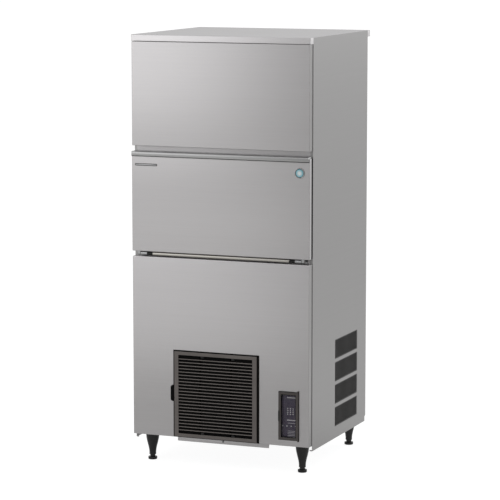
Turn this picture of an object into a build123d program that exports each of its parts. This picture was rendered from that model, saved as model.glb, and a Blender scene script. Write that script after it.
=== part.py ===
from build123d import *
import os

# Cube ice machine with a storage bin below it, free-standing on four levelling legs.
# Millimetres. +X is to the right of someone facing the machine, +Y to its rear, +Z up.
# The origin is on the floor, under the middle of the machine.

# Heights, from the floor up the front of the machine
LEG_HEIGHT = 107.0
LOWER_PANEL_HEIGHT = 673.0
HINGE_GAP = 19.0
DOOR_HEIGHT = 366.0
GRIP_GAP = 26.0
UPPER_PANEL_HEIGHT = 384.0
TOP_SEAM = 1.0
TOP_HEIGHT = 24.0

# Widths and depths
WIDTH = 704.0
PANEL_INSET = 2.0
DOOR_INSET = 1.0
LOUVRE_PROUD = 10.0
PANEL_DEPTH = 30.0
CABINET_DEPTH = 596.0
REAR_OVERHANG = 29.0

# Folded sheet, clearances, and how far a cutter runs past what it cuts
SHEET = 1.0
BEND = 2.0
PANEL_LIP = 14.0
SEAT_GAP = 0.3
RUNNING_GAP = 0.06
OVERCUT = 1.0

# Side panels
SIDE_DROP = 18.5
SIDE_FLANGE = 10.0
HOOK_HEIGHT = 4.5
REAR_NOTCH = 9.5
REAR_NOTCH_RISE = 3.0

# Air outlets in the right side panel
VENT_ROWS = 4
VENT_LENGTH = 250.0
VENT_HEIGHT = 73.0
VENT_PITCH = 85.5
VENT_RISE = 26.5
VENT_FROM_REAR = 102.0
VENT_CORNER = 4.0
GRILLE_THICK = 3.0
GRILLE_LAP = 5.0
GRILLE_BORDER = 7.0
GRILLE_SLOTS = 19
GRILLE_PITCH = 12.5
GRILLE_SLOT = 8.5

# Base, deck and rear
PAN_SHEET = 2.0
PAN_WALL = 20.0
TAB_WIDTH = 366.0
TAB_DROP = 14.5
TAB_SHEET = 1.5
TAB_CORNER = 3.0
DECK_RISE = 363.0
DECK_SHEET = 2.0
REAR_SHEET = 1.0
REAR_SLOTS = 12
REAR_SLOT_LENGTH = 180.0
REAR_SLOT_HEIGHT = 6.0
REAR_SLOT_PITCH = 16.0
REAR_SLOT_X = -40.0
REAR_SLOT_RISE = 110.0

# Water, drain and cord openings at the rear
OUTLET_LENGTH = 22.0
WATER_FROM_SIDE = 112.0
WATER_RISE = 190.0
WATER_RADIUS = 13.2
WATER_COLLAR = 15.5
WATER_BORE = 8.0
VALVE_HALF = 22.0
VALVE_DEPTH = 46.0
VALVE_CORNER = 6.0
VALVE_COIL_RADIUS = 15.0
VALVE_COIL_HEIGHT = 36.0
DRAIN_FROM_SIDE = 202.0
DRAIN_FROM_REAR = 60.0
DRAIN_RISE = 44.0
DRAIN_RADIUS = 16.0
DRAIN_WALL = 2.5
SPIGOT_RADIUS = 15.0
GROMMET_FROM_SIDE = 102.0
GROMMET_RISE = 70.0
GROMMET_HOLE = 11.0
GROMMET_BORE = 6.0
GROMMET_LIP = 4.0
LIP_THICK = 2.5

# Legs and levelling feet
LEG_FROM_SIDE = 50.7
LEG_FROM_FRONT = 34.8
LEG_FROM_REAR = 47.0
LEG_TOP_RADIUS = 23.4
LEG_KNEE_RADIUS = 19.8
LEG_ANKLE_RADIUS = 14.0
LEG_END_RADIUS = 13.0
LEG_KNEE_HEIGHT = 64.0
LEG_ANKLE_HEIGHT = 39.0
LEG_END_HEIGHT = 19.0
LEG_BORE_TOP = 98.0
FOOT_RADIUS = 17.0
FOOT_HEIGHT = 11.0
FOOT_EDGE = 2.5
NECK_RADIUS = 9.75
STEM_RADIUS = 8.0
STEM_TOP = 72.0
STEM_POINT = 1.5

# Insulated cabinet
FRAME_SHEET = 3.0
WALL = 48.0
FRONT_WALL = 42.0
BIN_FLOOR = 50.0
LID = 56.0
LINER = 2.0
LINER_CORNER = 20.0
MOUTH_FROM_SIDE = 52.0
MOUTH_SILL = 26.0
MOUTH_HEAD = 25.0
HATCH_FROM_SIDE = 62.0
HATCH_SILL = 14.0
HATCH_HEAD = 39.0
PULL_HALF = 60.0
PULL_TALL = 40.0
PULL_DEEP = 18.0
PULL_CORNER = 12.0

# Bin door
DOOR_DEPTH = 25.0
DOOR_LIP = 8.0
GASKET_INSET = 13.0
GASKET_WIDTH = 19.0
GASKET_CORNER = 8.0
GASKET_EDGE = 1.5
PLUG_GAP = 10.0
PLUG_DEPTH = 35.0
PLUG_DRAFT = 4.0
PLUG_CORNER = 12.0
GRIP_HEIGHT = 19.5
GRIP_OVER = 6.5
GRIP_PROUD = 10.0
GRIP_TOP_DEPTH = 24.0
GRIP_ROUND = 4.5
GRIP_INSET = 3.0
BADGE_RADIUS = 19.0
BADGE_THICK = 2.5
BADGE_RIM = 3.0
BADGE_EDGE = 0.9
BADGE_DISC = 1.5
BADGE_CROWN = 2.2
BADGE_STEPS = 4
BADGE_FROM_SIDE = 40.2
BADGE_BELOW_TOP = 52.0

# Door hinges
HINGE_BACK = 8.0
HINGE_DROP = 8.5
HINGE_FROM_SIDE = 80.0
BAR_RADIUS = 6.5
BAR_END = 2.2
PIN_RADIUS = 4.0
BUSH_LENGTH = 22.0
BUSH_RADIUS = 6.0
KNUCKLE_LENGTH = 24.0
KNUCKLE_RADIUS = 6.4
BRACKET_THICK = 5.0
BRACKET_FOOT = 16.0
BRACKET_PLATE = 2.5
BRACKET_BELOW = 8.0
BRACKET_ABOVE = 6.5
ARM_LENGTH = 10.0
ARM_SPACE = 2.0
ARM_ROUND = 6.5

# Louvred air inlet
LOUVRE_X = -15.5
LOUVRE_WIDTH = 343.0
LOUVRE_HEIGHT = 329.0
LOUVRE_RISE = 0.5
LOUVRE_TAPER_SIDE = 9.0
LOUVRE_TAPER_END = 5.0
LOUVRE_RIM_SIDE = 15.0
LOUVRE_RIM_END = 11.5
SLAT_PITCH = 12.15
SLAT_END_GAP = 8.3
SLAT_FACE = 5.0
SLAT_THICK = 1.7
SLAT_DEPTH = 3.0
RIB_OFFSET = 61.0
RIB_WIDTH = 4.0
RIB_DEPTH = 1.0
DUCT_WALL = 2.0
DUCT_INSET = 9.0
DUCT_DEPTH = 26.0

# Air filter
FILTER_THICK = 4.0
FILTER_BACK = 1.9
FILTER_START = 4.0
FILTER_FRAME = 9.0
FILTER_BARS = 3
FILTER_BAR = 3.0
FILTER_BAR_INSET = 0.8
FILTER_MESH = 0.8
SLOT_END = 2.0
TAB_OUT = 13.0
TAB_TALL = 60.0
TAB_MIDDLE = 166.5
TAB_ROUND = 8.0

# Control window
CONTROL_FROM_SIDE = 80.1
CONTROL_WIDTH = 79.0
CONTROL_HEIGHT = 180.4
CONTROL_RISE = 23.0
CONTROL_PROUD = 6.0
CONTROL_BEVEL = 2.4
CONTROL_RIM = 10.5
PANE_THICK = 1.5
PANE_BACK = 2.5
PANE_LEDGE = 2.0
NOTCH_TALL = 40.0
NOTCH_WIDE = 4.0
NOTCH_DEEP = 3.0
COVER_PIN_RADIUS = 1.2
EAR_THICK = 3.0
KEYPAD_BORDER = 6.0
KEYPAD_DEEP = 4.0
KEYPAD_THICK = 2.0
KEY_RADIUS = 4.0
KEY_PROUD = 0.8
KEY_RISE = 46.0
KEY_COUNT = 4
DISPLAY_INSET = 14.0
DISPLAY_RISE = 84.0
DISPLAY_TALL = 34.0
DISPLAY_PROUD = 0.6
HOUSING_WALL = 4.0
HOUSING_CORNER = 3.0
CONTROL_BOX_DEPTH = 104.0
CONTROL_BOX_LAP = 12.0

# Condenser, fan and fan motor
COIL_LESS_WIDE = 47.0
COIL_LESS_HIGH = 29.0
COIL_RISE = 8.0
COIL_DEPTH = 50.0
COIL_BACK = 15.0
FIN_PITCH = 8.0
FIN_GROOVE = 4.0
FIN_DEEP = 3.0
END_PLATE = 1.5
TUBE_BEND_RADIUS = 12.0
TUBE_RADIUS = 4.8
TUBE_BEND_ROWS = 6
SHROUD_DEPTH = 30.0
SHROUD_SHEET = 1.2
FAN_LESS = 30.0
FAN_CLEARANCE = 8.0
COLLAR_LENGTH = 14.0
SPIDER_BACK = 24.0
SPIDER_THICK = 4.0
SPIDER_WIDTH = 12.0
SPIDER_HOLE = 16.0
FAN_HUB = 34.0
FAN_HUB_DEPTH = 24.0
FAN_HUB_EDGE = 3.0
FAN_BLADES = 5
BLADE_ROOT_CHORD = 36.0
BLADE_TIP_CHORD = 66.0
BLADE_ROOT_THICK = 3.6
BLADE_TIP_THICK = 2.2
BLADE_ROOT_PITCH = 38.0
BLADE_TIP_PITCH = 22.0
BLADE_SUNK = 5.0
BLADE_TIP_GAP = 4.0
SHAFT_RADIUS = 4.0
MOTOR_RADIUS = 42.0
MOTOR_LENGTH = 64.0
MOTOR_ROUND = 10.0
MOTOR_BOSS_RADIUS = 15.0
MOTOR_BOSS_LENGTH = 5.0

# Compressor and its pipe
COMPRESSOR_FROM_SIDE = 147.0
COMPRESSOR_FROM_REAR = 224.0
COMPRESSOR_HALF_X = 92.0
COMPRESSOR_HALF_Y = 74.0
COMPRESSOR_HEIGHT = 196.0
SHELL_DOME = 34.0
WELD_PROUD = 3.0
WELD_HEIGHT = 5.0
FOOT_PLATE = 3.0
FOOT_PLATE_PAST_X = 20.0
FOOT_PLATE_PAST_Y = 8.0
FOOT_PLATE_CORNER = 14.0
GROMMETS_PAST_X = 8.0
GROMMETS_INSIDE_Y = 4.0
FOOT_GROMMET_RADIUS = 14.0
FOOT_GROMMET_HEIGHT = 14.0
FOOT_GROMMET_WAIST = 3.0
FOOT_GROMMET_GROOVE = 4.0
STUB_RADIUS = 7.0
STUB_LENGTH = 14.0
STUB_RISE = 59.0
PIPE_RADIUS = 4.8
PIPE_BEND = 18.0
PIPE_LOOP = 60.0
PIPE_SHIFT = 20.0
PIPE_INLET = 12.0

# Ice maker
CELL = 28.0
CELL_WALL = 3.0
CELL_DEPTH = 30.0
MAKER_FROM_SIDE = 39.0
MAKER_FROM_FRONT = 144.0
MAKER_FROM_REAR = 50.0
MAKER_RISE = 195.0
GRID_END_GAP = 25.0
GRID_SIDE_GAP = 46.0
GRID_EAR_INSET = 34.0
GRID_EAR_OUT = 12.0
COIL_TUBE_INSET = 30.0
COIL_TUBE_ROWS = 4
COIL_TUBE_BEND = 24.0
COIL_TUBE_SUNK = 1.0
BEAM_THICK = 4.0
BEAM_HEIGHT = 140.0
HANGER_WIDTH = 70.0
HANGER_BELOW = 26.0
LEDGE_WIDTH = 38.0
LEDGE_THICK = 3.0
LEDGE_CLEAR = 16.0
RAIL = 12.0
CAM_RISE = 48.0
CAM_SHAFT_RADIUS = 6.0
CAM_ARM_LENGTH = 86.0
CAM_ARM_THICK = 6.0
CAM_ARM_GAP = 8.0
CAM_ARM_HALF = 7.0
CAM_HUB_RADIUS = 12.0
CAM_PIN_RADIUS = 3.0
CAM_PIN_PAST = 5.0
CAM_SHAFT_PAST = 14.0
PLATE_THICK = 10.0
PLATE_GAP = 2.0
PLATE_OVER = 14.0
PLATE_CORNER = 8.0
PLATE_END = 22.0
PLATE_START = 14.0
PLATE_DRIP = 6.0
PLATE_DRIP_MARGIN = 40.0
PLATE_HINGE_DROP = 4.0
PLATE_KNUCKLE = 7.0
SPRING_INSET = 24.0
SPRING_FROM_SHAFT = 30.0
SPRING_BAR_PAST = 6.0
SPRING_EYE = 6.0
SPRING_RADIUS = 6.0
SPRING_WAIST = 4.5
SPRING_RIBS = 9
SPRING_WIRE = 2.0
TANK_START = 30.0
TANK_RIGHT = 40.0
TANK_DEPTH = 76.0
TANK_WALL = 2.5
TANK_ROUND = 10.0
PUMP_RADIUS = 34.0
PUMP_HEIGHT = 66.0
PUMP_ROUND = 8.0
PUMP_FROM_TANK = 12.0
PUMP_FROM_REAR = 8.0
PUMP_DUCT_HALF = 14.0
PUMP_DUCT_BELOW = 12.0
PUMP_DUCT_TALL = 28.0
ACTUATOR_DEPTH = 34.0
ACTUATOR_HALF = 34.0
ACTUATOR_PAST = 40.0
ACTUATOR_CORNER = 6.0

# Drain pan, cube guide and ice level paddle below the ice maker
CHUTE_WIDTH = 111.0
DRAIN_PAN_DEPTH = 22.0
DRAIN_PAN_DROP = 58.0
PAN_SPOUT_RADIUS = 11.0
PAN_SPOUT_LENGTH = 18.0
PAN_SPOUT_INSET = 40.0
GUIDE_SLATS = 12
GUIDE_SLAT_THICK = 3.0
GUIDE_INSIDE = 82.0
GUIDE_OUTSIDE = 32.0
GUIDE_RISE = 14.0
GUIDE_LIP_TOP = 2.0
GUIDE_LIP_BOTTOM = 9.0
GUIDE_BAR = 4.0
GUIDE_FOOT = 5.0
GUIDE_WALL_GAP = 3.0
PADDLE_FROM_WALL = 31.0
PADDLE_DROP = 22.0
PADDLE_LENGTH = 84.0
PADDLE_WIDTH = 60.0
PADDLE_THICK = 3.0
PADDLE_ROUND = 10.0
PADDLE_BARREL = 5.5
PADDLE_SIDE_GAP = 1.0
BRACKET_CHEEK = 6.0
BRACKET_REACH = 8.0
BRACKET_ROOF = 14.0
BRACKET_SWING = 20.0
BRACKET_HEADROOM = 9.0

# Screws
SCREW_HEAD_RADIUS = 4.0
SCREW_HEAD_HEIGHT = 2.8
SCREW_HEAD_EDGE = 1.0
SCREW_FROM_EDGE = 24.0
SCREW_FROM_SEAM = 16.0
TAB_SCREW_SHARE = 0.72

# Places worked out from the sizes above
HALF = WIDTH / 2
DEPTH = LOUVRE_PROUD + PANEL_DEPTH + CABINET_DEPTH + REAR_OVERHANG
FRONT = LOUVRE_PROUD - DEPTH / 2
CAB_FRONT = FRONT + PANEL_DEPTH
CAB_REAR = CAB_FRONT + CABINET_DEPTH
TOP_REAR = CAB_REAR + REAR_OVERHANG
BASE = LEG_HEIGHT
LOWER_TOP = BASE + LOWER_PANEL_HEIGHT
DOOR_BOTTOM = LOWER_TOP + HINGE_GAP
DOOR_TOP = DOOR_BOTTOM + DOOR_HEIGHT
UPPER_BOTTOM = DOOR_TOP + GRIP_GAP
UPPER_TOP = UPPER_BOTTOM + UPPER_PANEL_HEIGHT
TOP_BOTTOM = UPPER_TOP + TOP_SEAM
TOP = TOP_BOTTOM + TOP_HEIGHT
ROOF = TOP - SHEET
SIDE_IN = HALF - SHEET
PANEL_HALF = HALF - PANEL_INSET
DOOR_HALF = HALF - DOOR_INSET
SIDE_BOTTOM = BASE - SIDE_DROP
PAN_TOP = BASE + PAN_SHEET
DECK = BASE + DECK_RISE
REAR_SKIN = CAB_REAR - SHEET - REAR_SHEET
FRAME_BACK = CAB_FRONT + FRAME_SHEET

# The space inside the foam, and the openings in its front wall
CAVITY_HALF = SIDE_IN - WALL
CAVITY_FRONT = CAB_FRONT + FRONT_WALL
CAVITY_REAR = REAR_SKIN - WALL
CAVITY_FLOOR = DECK + BIN_FLOOR
LID_BOTTOM = ROOF - LID
MOUTH_BOTTOM = DOOR_BOTTOM + MOUTH_SILL
MOUTH_TOP = DOOR_TOP - MOUTH_HEAD
HATCH_BOTTOM = UPPER_BOTTOM + HATCH_SILL
HATCH_TOP = ROOF - HATCH_HEAD
LINED_HALF = CAVITY_HALF - LINER
LINED_FRONT = CAVITY_FRONT + LINER
LINED_REAR = CAVITY_REAR - LINER
LINED_FLOOR = CAVITY_FLOOR + LINER

# Services at the rear
WATER_X = HALF - WATER_FROM_SIDE
WATER_Z = BASE + WATER_RISE
DRAIN_X = HALF - DRAIN_FROM_SIDE
DRAIN_Y = LINED_REAR - DRAIN_FROM_REAR
DRAIN_Z = BASE + DRAIN_RISE
GROMMET_X = GROMMET_FROM_SIDE - HALF
GROMMET_Z = BASE + GROMMET_RISE

# Hinge axis of the door, and the half length of its bar
AXIS_Y = FRONT + HINGE_BACK
AXIS_Z = DOOR_BOTTOM - HINGE_DROP
BAR_HALF = DOOR_HALF - HINGE_FROM_SIDE

# Louvre, filter and control window
LOUVRE_BOTTOM = BASE + LOUVRE_RISE
LOUVRE_TOP = LOUVRE_BOTTOM + LOUVRE_HEIGHT
LOUVRE_LEFT = LOUVRE_X - LOUVRE_WIDTH / 2
LOUVRE_RIGHT = LOUVRE_X + LOUVRE_WIDTH / 2
LOUVRE_MID = (LOUVRE_BOTTOM + LOUVRE_TOP) / 2
LOUVRE_FACE = FRONT - LOUVRE_PROUD
LOUVRE_OPEN_HIGH = LOUVRE_HEIGHT - 2 * LOUVRE_TAPER_END - 2 * LOUVRE_RIM_END
SLAT_COUNT = int((LOUVRE_OPEN_HIGH - 2 * SLAT_END_GAP) / SLAT_PITCH) + 1
FILTER_REAR = FRONT - FILTER_BACK
FILTER_FACE = FILTER_REAR - FILTER_THICK
SLAT_BACK = FILTER_FACE - SEAT_GAP
CONTROL_X = HALF - CONTROL_FROM_SIDE
CONTROL_LEFT = CONTROL_X - CONTROL_WIDTH / 2
CONTROL_RIGHT = CONTROL_X + CONTROL_WIDTH / 2
CONTROL_BOTTOM = BASE + CONTROL_RISE
CONTROL_TOP = CONTROL_BOTTOM + CONTROL_HEIGHT
CONTROL_MID = (CONTROL_BOTTOM + CONTROL_TOP) / 2

# Cooling parts
COIL_WIDTH = LOUVRE_WIDTH - COIL_LESS_WIDE
COIL_HEIGHT = LOUVRE_HEIGHT - COIL_LESS_HIGH
COIL_FRONT = CAB_FRONT + COIL_BACK
COIL_REAR = COIL_FRONT + COIL_DEPTH
COIL_BOTTOM = PAN_TOP + COIL_RISE
COIL_TOP = COIL_BOTTOM + COIL_HEIGHT
COIL_MID = COIL_BOTTOM + COIL_HEIGHT / 2
COIL_END = LOUVRE_X + COIL_WIDTH / 2 + END_PLATE
FAN_RADIUS = min(COIL_WIDTH, COIL_HEIGHT) / 2 - FAN_LESS
SHROUD_REAR = COIL_REAR + SHROUD_DEPTH
SPIDER_FACE = SHROUD_REAR + SPIDER_BACK
MOTOR_SEAT = SPIDER_FACE + SPIDER_THICK
FAN_MIDDLE = SHROUD_REAR - SHEET
COMPRESSOR_X = HALF - COMPRESSOR_FROM_SIDE
COMPRESSOR_Y = CAB_REAR - COMPRESSOR_FROM_REAR
FOOT_PLATE_BOTTOM = PAN_TOP + FOOT_GROMMET_HEIGHT
SHELL_BOTTOM = FOOT_PLATE_BOTTOM + FOOT_PLATE
STUB_Z = SHELL_BOTTOM + STUB_RISE
STUB_END = COMPRESSOR_Y - COMPRESSOR_HALF_Y - STUB_LENGTH

# Ice maker: as many whole cells as the lined space holds
CELL_PITCH = CELL + CELL_WALL
CAM_SHAFT_X = LINED_HALF - MAKER_FROM_SIDE
PLATE_HINGE_X = -CAM_SHAFT_X
MAKER_Y = FRONT + MAKER_FROM_FRONT
MAKER_SPACE = LINED_REAR - MAKER_FROM_REAR - MAKER_Y
CELL_COLUMNS = int((2 * (CAM_SHAFT_X - GRID_END_GAP) - CELL_WALL) / CELL_PITCH)
CELL_ROWS = int((MAKER_SPACE - 2 * GRID_SIDE_GAP - CELL_WALL) / CELL_PITCH)
GRID_LONG = CELL_COLUMNS * CELL_PITCH + CELL_WALL
GRID_WIDE = CELL_ROWS * CELL_PITCH + CELL_WALL
GRID_Y = MAKER_Y + GRID_SIDE_GAP + GRID_WIDE / 2
MAKER_REAR = 2 * GRID_Y - MAKER_Y
GRID_BOTTOM = HATCH_BOTTOM + MAKER_RISE
GRID_TOP = GRID_BOTTOM + CELL_DEPTH + CELL_WALL
PLATE_TOP = GRID_BOTTOM - PLATE_GAP
PLATE_BOTTOM = PLATE_TOP - PLATE_THICK
PLATE_PIN_Z = PLATE_BOTTOM - PLATE_HINGE_DROP
CAM_Z = PLATE_TOP + CAM_RISE
LEDGE_HALF = CAM_SHAFT_X - CAM_ARM_LENGTH - LEDGE_CLEAR
SPRING_X = CAM_SHAFT_X - SPRING_FROM_SHAFT
SPRING_Z = PLATE_BOTTOM + PLATE_THICK / 2
SPRING_Y = (MAKER_Y + SPRING_INSET, MAKER_REAR - SPRING_INSET)
PAN_FLOOR = HATCH_BOTTOM - DRAIN_PAN_DROP
PAN_RIM = PAN_FLOOR + DRAIN_PAN_DEPTH
PAN_RIGHT = LINED_HALF - CHUTE_WIDTH
PADDLE_X = LINED_HALF - PADDLE_FROM_WALL
PADDLE_Z = PAN_FLOOR - PADDLE_DROP


def slab(x, y, z):
    """A straight-sided block between a pair of limits on each axis."""
    middle = Pos((x[0] + x[1]) / 2, (y[0] + y[1]) / 2, (z[0] + z[1]) / 2)
    return middle * Box(x[1] - x[0], y[1] - y[0], z[1] - z[0])


def grown(limits, amount):
    """A pair of limits moved apart by an amount at both ends."""
    return limits[0] - amount, limits[1] + amount


def rod_x(radius, x, y, z):
    """A round bar along X."""
    middle = Pos((x[0] + x[1]) / 2, y, z)
    return middle * Rot(0, 90, 0) * Cylinder(radius, x[1] - x[0])


def rod_y(radius, x, y, z):
    """A round bar along Y."""
    middle = Pos(x, (y[0] + y[1]) / 2, z)
    return middle * Rot(90, 0, 0) * Cylinder(radius, y[1] - y[0])


def rod_z(radius, x, y, z):
    """A round bar along Z."""
    return Pos(x, y, (z[0] + z[1]) / 2) * Cylinder(radius, z[1] - z[0])


def tray(x, y, z, lip):
    """A folded sheet tray with bent edges, its open side to the rear behind a lip."""
    body = slab(x, y, z)
    front_edges = body.faces().sort_by(Axis.Y)[0].edges()
    body = fillet(front_edges + body.edges().filter_by(Axis.Y), BEND)
    hollow = slab(grown(x, -SHEET), (y[0] + SHEET, y[1] - SHEET), grown(z, -SHEET))
    window = slab(grown(x, -lip), (y[1] - 2 * SHEET, y[1] + SHEET), grown(z, -lip))
    return body - hollow - window


def pipe(points, radii, radius):
    """A round pipe along straight runs joined by bends."""
    path = FilletPolyline(*points, radius=radii)
    start = path.wires()[0] if path.wires() else path
    section = Plane(origin=start @ 0, z_dir=start % 0) * Circle(radius)
    return sweep(section, path=path)


def top_panel():
    """One folded sheet: a boxed front fascia, a flat roof and a rear lip."""
    body = slab((-HALF, HALF), (FRONT, TOP_REAR), (TOP_BOTTOM, TOP))
    body = fillet(body.edges().filter_by(Axis.X) + body.edges().filter_by(Axis.Z), BEND)
    wide = (-HALF - SHEET, HALF + SHEET)
    inner = (-HALF + SHEET, HALF - SHEET)
    body -= slab(wide, (CAB_FRONT, CAB_REAR), (TOP_BOTTOM - SHEET, ROOF))
    body -= slab(inner, (FRONT + SHEET, CAB_FRONT + SHEET), (TOP_BOTTOM + SHEET, ROOF))
    body -= slab(inner, (CAB_REAR - SHEET, TOP_REAR - SHEET), (TOP_BOTTOM + SHEET, ROOF))
    return body


def upper_front_panel():
    """Folded tray over the ice maker."""
    return tray((-PANEL_HALF, PANEL_HALF), (FRONT, CAB_FRONT), (UPPER_BOTTOM, UPPER_TOP), PANEL_LIP)


def lower_front_panel():
    """Folded tray with the cut-outs for the louvre and the control window."""
    body = tray((-PANEL_HALF, PANEL_HALF), (FRONT, CAB_FRONT), (BASE, LOWER_TOP), PANEL_LIP)
    through = (FRONT - SHEET, FRONT + 2 * SHEET)
    body -= slab(*louvre_hole(through))
    body -= slab(*keypad_hole(through))
    return body


def louvre_hole(y):
    """Limits of the panel's cut-out round the louvre's duct."""
    x = grown((LOUVRE_LEFT, LOUVRE_RIGHT), SEAT_GAP - DUCT_INSET)
    z = grown((LOUVRE_BOTTOM, LOUVRE_TOP), SEAT_GAP - DUCT_INSET)
    return x, y, z


def keypad_hole(y):
    """Limits of the panel's cut-out over the keypad."""
    x = grown((CONTROL_LEFT, CONTROL_RIGHT), -KEYPAD_BORDER)
    z = grown((CONTROL_BOTTOM, CONTROL_TOP), -KEYPAD_BORDER)
    return x, y, z


def vent_limits(row):
    """Limits of one air outlet along Y and Z, counted from the lowest."""
    rear = CAB_REAR - VENT_FROM_REAR
    bottom = BASE + VENT_RISE + row * VENT_PITCH
    return (rear - VENT_LENGTH, rear), (bottom, bottom + VENT_HEIGHT)


def side_profile():
    """Section of a side sheet: a web with a flange folded in at each end."""
    inner = HALF - SIDE_FLANGE
    points = [
        (inner, CAB_FRONT),
        (HALF, CAB_FRONT),
        (HALF, CAB_REAR),
        (inner, CAB_REAR),
        (inner, CAB_REAR - SHEET),
        (SIDE_IN, CAB_REAR - SHEET),
        (SIDE_IN, CAB_FRONT + SHEET),
        (inner, CAB_FRONT + SHEET),
    ]
    return make_face(Polyline(*points, close=True))


def right_side_panel():
    """Folded side sheet with the four air outlets."""
    body = plain_side_panel()
    for row in range(VENT_ROWS):
        y, z = vent_limits(row)
        window = slab((SIDE_IN - SHEET, HALF + SHEET), y, z)
        body -= fillet(window.edges().filter_by(Axis.X), VENT_CORNER)
    return body


def plain_side_panel():
    """Folded side sheet: hooked front foot below the base, stepped rear corner."""
    body = Pos(0, 0, SIDE_BOTTOM) * extrude(side_profile(), ROOF - SIDE_BOTTOM)
    flange = (HALF - SIDE_FLANGE - SHEET, SIDE_IN)
    body -= slab(flange, grown((CAB_FRONT, CAB_FRONT), 2 * SHEET), (SIDE_BOTTOM + HOOK_HEIGHT, BASE))
    step = (HALF - SIDE_FLANGE - SHEET, HALF + SHEET)
    rear = (CAB_REAR - REAR_NOTCH, CAB_REAR + SHEET)
    body -= slab(step, rear, (SIDE_BOTTOM - SHEET, BASE + REAR_NOTCH_RISE))
    return body


def left_side_panel():
    """The plain side sheet, the other way round."""
    return mirror(plain_side_panel(), about=Plane.YZ)


def side_vent_grilles():
    """Four slotted grilles that lie against the inside of the right side sheet."""
    grilles = []
    for row in range(VENT_ROWS):
        y, z = vent_limits(row)
        plate = slab((SIDE_IN - GRILLE_THICK, SIDE_IN), grown(y, GRILLE_LAP), grown(z, GRILLE_LAP))
        middle_y = (y[0] + y[1]) / 2
        middle_z = (z[0] + z[1]) / 2
        slot = Box(3 * GRILLE_THICK, GRILLE_SLOT, VENT_HEIGHT - GRILLE_BORDER)
        spots = GridLocations(GRILLE_PITCH, 1, GRILLE_SLOTS, 1)
        turned = Pos(SIDE_IN, middle_y, middle_z) * Rot(0, 0, 90)
        cutters = [turned * spot * Rot(0, 0, 90) * slot for spot in spots]
        grilles.append(plate - cutters)
    return Compound(children=grilles)


def rear_panel():
    """Flat sheet that closes the insulated cabinet at the rear."""
    return slab((-SIDE_IN, SIDE_IN), (REAR_SKIN, REAR_SKIN + REAR_SHEET), (DECK, ROOF))


def rear_cover():
    """Removable lower sheet at the rear, slotted for air and pierced for the services."""
    body = slab((-SIDE_IN, SIDE_IN), (REAR_SKIN, REAR_SKIN + REAR_SHEET), (BASE, DECK))
    through = grown((REAR_SKIN, REAR_SKIN + REAR_SHEET), OVERCUT)
    body -= rod_y(WATER_COLLAR + SEAT_GAP, WATER_X, through, WATER_Z)
    body -= rod_y(DRAIN_RADIUS + SEAT_GAP, DRAIN_X, through, DRAIN_Z)
    body -= rod_y(GROMMET_HOLE, GROMMET_X, through, GROMMET_Z)
    for row in range(REAR_SLOTS):
        z = BASE + REAR_SLOT_RISE + row * REAR_SLOT_PITCH
        x = grown((REAR_SLOT_X, REAR_SLOT_X), REAR_SLOT_LENGTH / 2)
        body -= slab(x, through, (z, z + REAR_SLOT_HEIGHT))
    return body


def base_pan():
    """Folded pan under the machine room, with the tab that hangs at its front."""
    front = CAB_FRONT + SHEET
    outer = slab((-SIDE_IN, SIDE_IN), (front, REAR_SKIN), (BASE, BASE + PAN_WALL))
    hollow = slab(
        grown((-SIDE_IN, SIDE_IN), -PAN_SHEET),
        grown((front, REAR_SKIN), -PAN_SHEET),
        (PAN_TOP, BASE + PAN_WALL + OVERCUT),
    )
    tab = slab(
        (-TAB_WIDTH / 2, TAB_WIDTH / 2),
        (front, front + TAB_SHEET),
        (BASE - TAB_DROP, BASE),
    )
    tab = fillet(tab.edges().filter_by(Axis.Y).group_by(Axis.Z)[0], TAB_CORNER)
    return outer - hollow + tab


def cabinet_deck():
    """Sheet floor that carries the insulated cabinet over the machine room."""
    sheet = slab((-SIDE_IN, SIDE_IN), (FRAME_BACK, REAR_SKIN), (DECK - DECK_SHEET, DECK))
    through = grown((DECK - DECK_SHEET, DECK), OVERCUT)
    return sheet - rod_z(DRAIN_RADIUS - LINER, DRAIN_X, DRAIN_Y, through)


def leg_places():
    """Name and place of each leg."""
    front = CAB_FRONT + LEG_FROM_FRONT
    rear = CAB_REAR - LEG_FROM_REAR
    half = HALF - LEG_FROM_SIDE
    return [
        ("front_left", -half, front),
        ("front_right", half, front),
        ("rear_left", -half, rear),
        ("rear_right", half, rear),
    ]


def legs():
    """Four moulded legs, turned forms that narrow to the ankle, bored for the foot's screw."""
    flank = Spline(
        (LEG_TOP_RADIUS, LEG_HEIGHT),
        (LEG_KNEE_RADIUS, LEG_KNEE_HEIGHT),
        (LEG_ANKLE_RADIUS, LEG_ANKLE_HEIGHT),
        (LEG_END_RADIUS, LEG_END_HEIGHT),
    )
    rest = Polyline(
        (LEG_END_RADIUS, LEG_END_HEIGHT),
        (0, LEG_END_HEIGHT),
        (0, LEG_HEIGHT),
        (LEG_TOP_RADIUS, LEG_HEIGHT),
    )
    body = revolve(Plane.XZ * make_face(flank + rest), Axis.Z)
    body -= rod_z(STEM_RADIUS + RUNNING_GAP, 0, 0, (0, LEG_BORE_TOP))
    return Compound(children=[Pos(x, y, 0) * body for _, x, y in leg_places()])


def foot():
    """Levelling foot: a round pad, a collar and the screw that runs up into the leg."""
    pad = rod_z(FOOT_RADIUS, 0, 0, (0, FOOT_HEIGHT))
    pad = fillet(pad.edges(), FOOT_EDGE)
    collar = rod_z(NECK_RADIUS, 0, 0, (FOOT_HEIGHT, LEG_END_HEIGHT - SEAT_GAP))
    stem = rod_z(STEM_RADIUS, 0, 0, (LEG_END_HEIGHT - SEAT_GAP, STEM_TOP))
    stem = chamfer(stem.edges().sort_by(Axis.Z)[-1], STEM_POINT)
    return pad + collar + stem


def mouth(y, inset):
    """Limits of the bin's mouth, drawn in by an inset."""
    half = HALF - MOUTH_FROM_SIDE - inset
    return (-half, half), y, (MOUTH_BOTTOM + inset, MOUTH_TOP - inset)


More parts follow.
